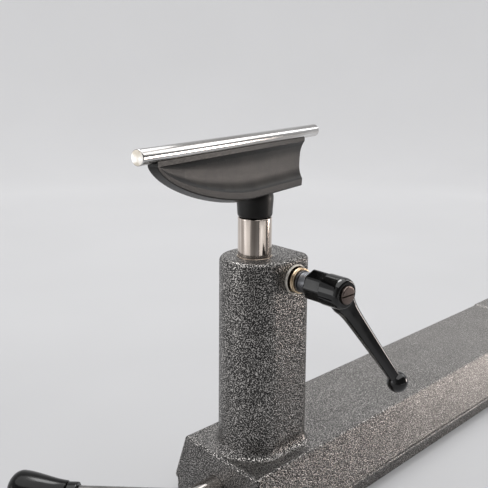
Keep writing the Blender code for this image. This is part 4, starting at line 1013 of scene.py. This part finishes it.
def blade_body(finish):
    sweep = BLADE_FLAT_LEFT - BLADE_LEFT
    places = [BLADE_FLAT_LEFT - sweep * math.sin(math.radians(a)) for a in (88, 86, 83, *range(80, -1, -4))]
    places += [between(BLADE_FLAT_LEFT, BLADE_RIGHT, i / 6) for i in range(1, 7)]
    return skinned("rest_casting", [blade_ring(along) for along in places], finish)


def boss_outline():
    foot = BAR_Z - BLADE_DEPTH
    top = BAR_Z - BUTTRESS_DROP
    return [(0, top), (BUTTRESS_TOP_R, top), ((BOSS_TOP_R + BUTTRESS_TOP_R) / 2, (foot + top) / 2),
            (BOSS_TOP_R - BOSS_SHOULDER_IN, foot + BOSS_SHOULDER), (BOSS_TOP_R, foot),
            (between(BOSS_R, BOSS_TOP_R, 1 / 3), BOSS_LOW + BOSS_FLARE_START), (BOSS_R, BOSS_LOW),
            (0, BOSS_LOW)]


rest_black = satin_paint("satin_black_paint", (0.005, 0.0048, 0.0046, 1), (0.014, 0.013, 0.012, 1))
# Lighter copy of the satin paint for the cove: a painted reflection of the pale floor, over the dust clouds.
dust_and_painted_reflection = satin_paint("cove_dust_and_painted_reflection_paint", (0.017, 0.0155, 0.0142, 1), (0.036, 0.032, 0.0283, 1))
rest = blade_body(rest_black)
carve(rest, turned("boss", eased(boss_outline(), BOSS_EASE), REST_PLACE, rest_black), 'UNION')
carve(rest, bore("bar_seat", BAR_R + FIT, BAR_LEFT, BAR_RIGHT, BAR_PLACE, rest_black))
carve(rest, bore("socket", SPIGOT_R + FIT, BOSS_LOW - CUT_PAST, POST_HIGH.z + FIT, REST_PLACE, rest_black))
rest.data.materials.append(dust_and_painted_reflection)
# The cove's front faces above the lip take the lighter copy: painted reflection in the cove.
to_rest = REST_PLACE.inverted()
for face in rest.data.polygons:
    spot = to_rest @ face.center
    faces_front = (to_rest.to_3x3() @ face.normal).y < -0.3
    behind_lip = spot.y + BAR_FRONT > -LIP_REACH + LIP_ROUND
    if faces_front and behind_lip and spot.z > BAR_Z - BLADE_DEPTH + LIP_HEIGHT:
        face.material_index = len(rest.data.materials) - 1
hand_over(rest, "rest_head", "satin_black_paint", "tool_rest_casting")


# Bar: hardened round bar, ground along its length, brazed into the casting's groove.
# The turning tool slides along it; its ends are faced off square.
BAR_EASE = 0.0006
bar_steel = ground_steel("ground_bar_steel", (0.5, 18, 18), (0.86, 0.86, 0.86, 1), (0, 0, -REST_TURN))
bar_outline = eased([(0, BAR_RIGHT), (BAR_R, BAR_RIGHT), (BAR_R, BAR_LEFT), (0, BAR_LEFT)], BAR_EASE)
bar = turned("rest_bar", bar_outline, BAR_PLACE, bar_steel, 128)
bar.data.materials.append(dark_steel("faced_steel", (0.62, 0.57, 0.49, 1), 0.4))
for face in bar.data.polygons:
    if abs(face.normal.dot(BAR_PLACE.col[2].xyz)) > 0.9:
        face.material_index = 1
hand_over(bar, "rest_head", "ground_steel", "tool_rest_bar")


# Studio: a round pale sweep whose floor curves up into a wall, under a large soft box.
# The sweep's front is painted darker and glows less, a painted shade, so bright steel has a dark band down
# its middle. The boxes and strips of the second group light only the object: its ridges, its steel and its
# black pieces.
SWEEP_CENTRE = Vector((0.15, 0.0, 0.0))
SWEEP_MIDDLE_R = 0.02
SWEEP_FLAT_R = 1.5
SWEEP_CURVE_R = 0.7
SWEEP_TOP = 3.0
SWEEP_STEPS = 128
SWEEP_PALE = (0.415, 0.415, 0.422, 1.0)
SWEEP_DARK = (0.12, 0.12, 0.121, 1.0)
SWEEP_GLOW = (1.0, 1.0, 1.01, 1.0)
SWEEP_GLOW_R = (0.3, 1.5)     # the glow grows between these distances, as the lamps' light fades
SWEEP_FLOOR_GLOW = 0.07
SWEEP_WALL_GLOW = 0.38
# Painted shade on the sweep's front: its colour turns to SWEEP_DARK and its glow falls to this share.
SWEEP_DIM = 0.10
SWEEP_DIM_R = (0.25, 0.90)    # painted shade darkens the front between these distances
SWEEP_DIM_WAY = Vector((math.cos(math.radians(-92)), math.sin(math.radians(-92)), 0.0))
SWEEP_DIM_TURN = (0.0, 0.65)  # and between these cosines from the front's middle
ROOM_GREY = (0.18, 0.18, 0.183, 1.0)
WHITE_LIGHT = (1.0, 1.0, 1.0)
WARM_LIGHT = (1.0, 0.90, 0.84)
BOX_AIM = Vector((0.05, 0.0, 0.15))
TOP_BOXES = (("top_box", (0.1, 0.0, 1.4), (2.0, 2.0), 24.0, WHITE_LIGHT),
             ("key_box", (0.25, 0.35, 1.1), (0.4, 0.4), 5.0, WHITE_LIGHT))
OBJECT_BOXES = (("ridge_box", (1.45, -0.4, 1.1), (0.7, 0.7), 3.6, WHITE_LIGHT),
                ("left_box", (-1.1, 0.6, 0.3), (0.6, 0.6), 1.6, WHITE_LIGHT),
                ("right_box", (0.92, -0.52, 0.12), (0.3, 0.3), 2.8, WARM_LIGHT),
                ("right_strip", (0.13, -0.61, 0.06), (0.55, 0.07), 0.11, WHITE_LIGHT),
                ("left_strip", (-0.62, 0.06, 0.06), (0.5, 0.07), 0.05, WHITE_LIGHT))


def sweep_paper():
    """Pale paper with a faint mottle, which glows a little more with distance; its front is painted darker
    and glows less, a painted shade.
    """
    finish, shader = new_finish("pale_sweep", SWEEP_PALE, 0.8, 0.0)
    spot = add_node(finish, "TexCoord", {}).outputs["Object"]
    away = add_node(finish, "VectorMath", {0: spot}, operation='LENGTH').outputs["Value"]
    level = add_node(finish, "VectorMath", {0: spot, 1: (1, 1, 0)}, operation='MULTIPLY').outputs[0]
    way = add_node(finish, "VectorMath", {0: level}, operation='NORMALIZE').outputs[0]
    turn = add_node(finish, "VectorMath", {0: way, 1: SWEEP_DIM_WAY}, operation='DOT_PRODUCT')
    front = times(finish, spread(finish, turn.outputs["Value"], *SWEEP_DIM_TURN, 0.0, 1.0, 'SMOOTHSTEP'),
                  spread(finish, away, *SWEEP_DIM_R, 0.0, 1.0, 'SMOOTHSTEP'))
    # Painted shade: towards the front the paper's colour darkens and its glow falls.
    painted_brightness = spread(finish, front, 0.0, 1.0, 1.0, SWEEP_DIM)
    glow = spread(finish, away, *SWEEP_GLOW_R, SWEEP_FLOOR_GLOW, SWEEP_WALL_GLOW)
    shader.inputs["Emission Color"].default_value = SWEEP_GLOW
    feed(finish, times(finish, glow, painted_brightness), shader, "Emission Strength")
    darker = tuple(0.96 * part for part in SWEEP_PALE[:3]) + (1.0,)
    mottle = stops(finish, grain(finish, 3.0, 2.0), [(0.3, darker), (0.7, SWEEP_PALE)])
    feed(finish, blend_colors(finish, painted_brightness, SWEEP_DARK, mottle), shader, "Base Color")
    return finish


def pale_sweep():
    profile = [(SWEEP_MIDDLE_R, 0.0), (SWEEP_FLAT_R / 2, 0.0), (SWEEP_FLAT_R, 0.0)]
    profile += arc(SWEEP_FLAT_R, SWEEP_CURVE_R, SWEEP_CURVE_R, -90, 0, 24)[1:]
    profile.append((SWEEP_FLAT_R + SWEEP_CURVE_R, SWEEP_TOP))
    bm = bmesh.new()
    loops = [[bm.verts.new(SWEEP_CENTRE + Vector((x, y, z)))
              for x, y in arc(0, 0, radius, 0, 360, SWEEP_STEPS)[1:]] for radius, z in profile]
    bm.faces.new(loops[0])
    for low, high in zip(loops, loops[1:]):
        for i in range(SWEEP_STEPS):
            j = (i + 1) % SWEEP_STEPS
            bm.faces.new((low[i], low[j], high[j], high[i]))
    sweep = mesh_piece("sweep", bm, sweep_paper())
    sweep.data.shade_smooth()
    return sweep


def soft_box(name, place, size, power, color):
    lamp = bpy.data.lights.new(name, 'AREA')
    lamp.shape = 'RECTANGLE'
    lamp.size, lamp.size_y = size
    lamp.color = color
    lamp.energy = power
    box = bpy.data.objects.new(name, lamp)
    box.location = place
    aim = BOX_AIM - Vector(place)
    box.rotation_euler = aim.to_track_quat('-Z', 'Y').to_euler()
    bpy.context.scene.collection.objects.link(box)
    return box


def room_light():
    """Dim even grey above the sweep."""
    room = bpy.data.worlds.new("room")
    room.use_nodes = True
    room.node_tree.nodes["Background"].inputs["Color"].default_value = ROOM_GREY
    bpy.context.scene.world = room


shaded = bpy.data.collections.new("not_lit_by_object_boxes")
shaded.objects.link(pale_sweep())
shaded.collection_objects[0].light_linking.link_state = 'EXCLUDE'
for values in TOP_BOXES:
    soft_box(*values)
for values in OBJECT_BOXES:
    soft_box(*values).light_linking.receiver_collection = shaded
room_light()
bpy.context.scene.view_settings.view_transform = 'Standard'
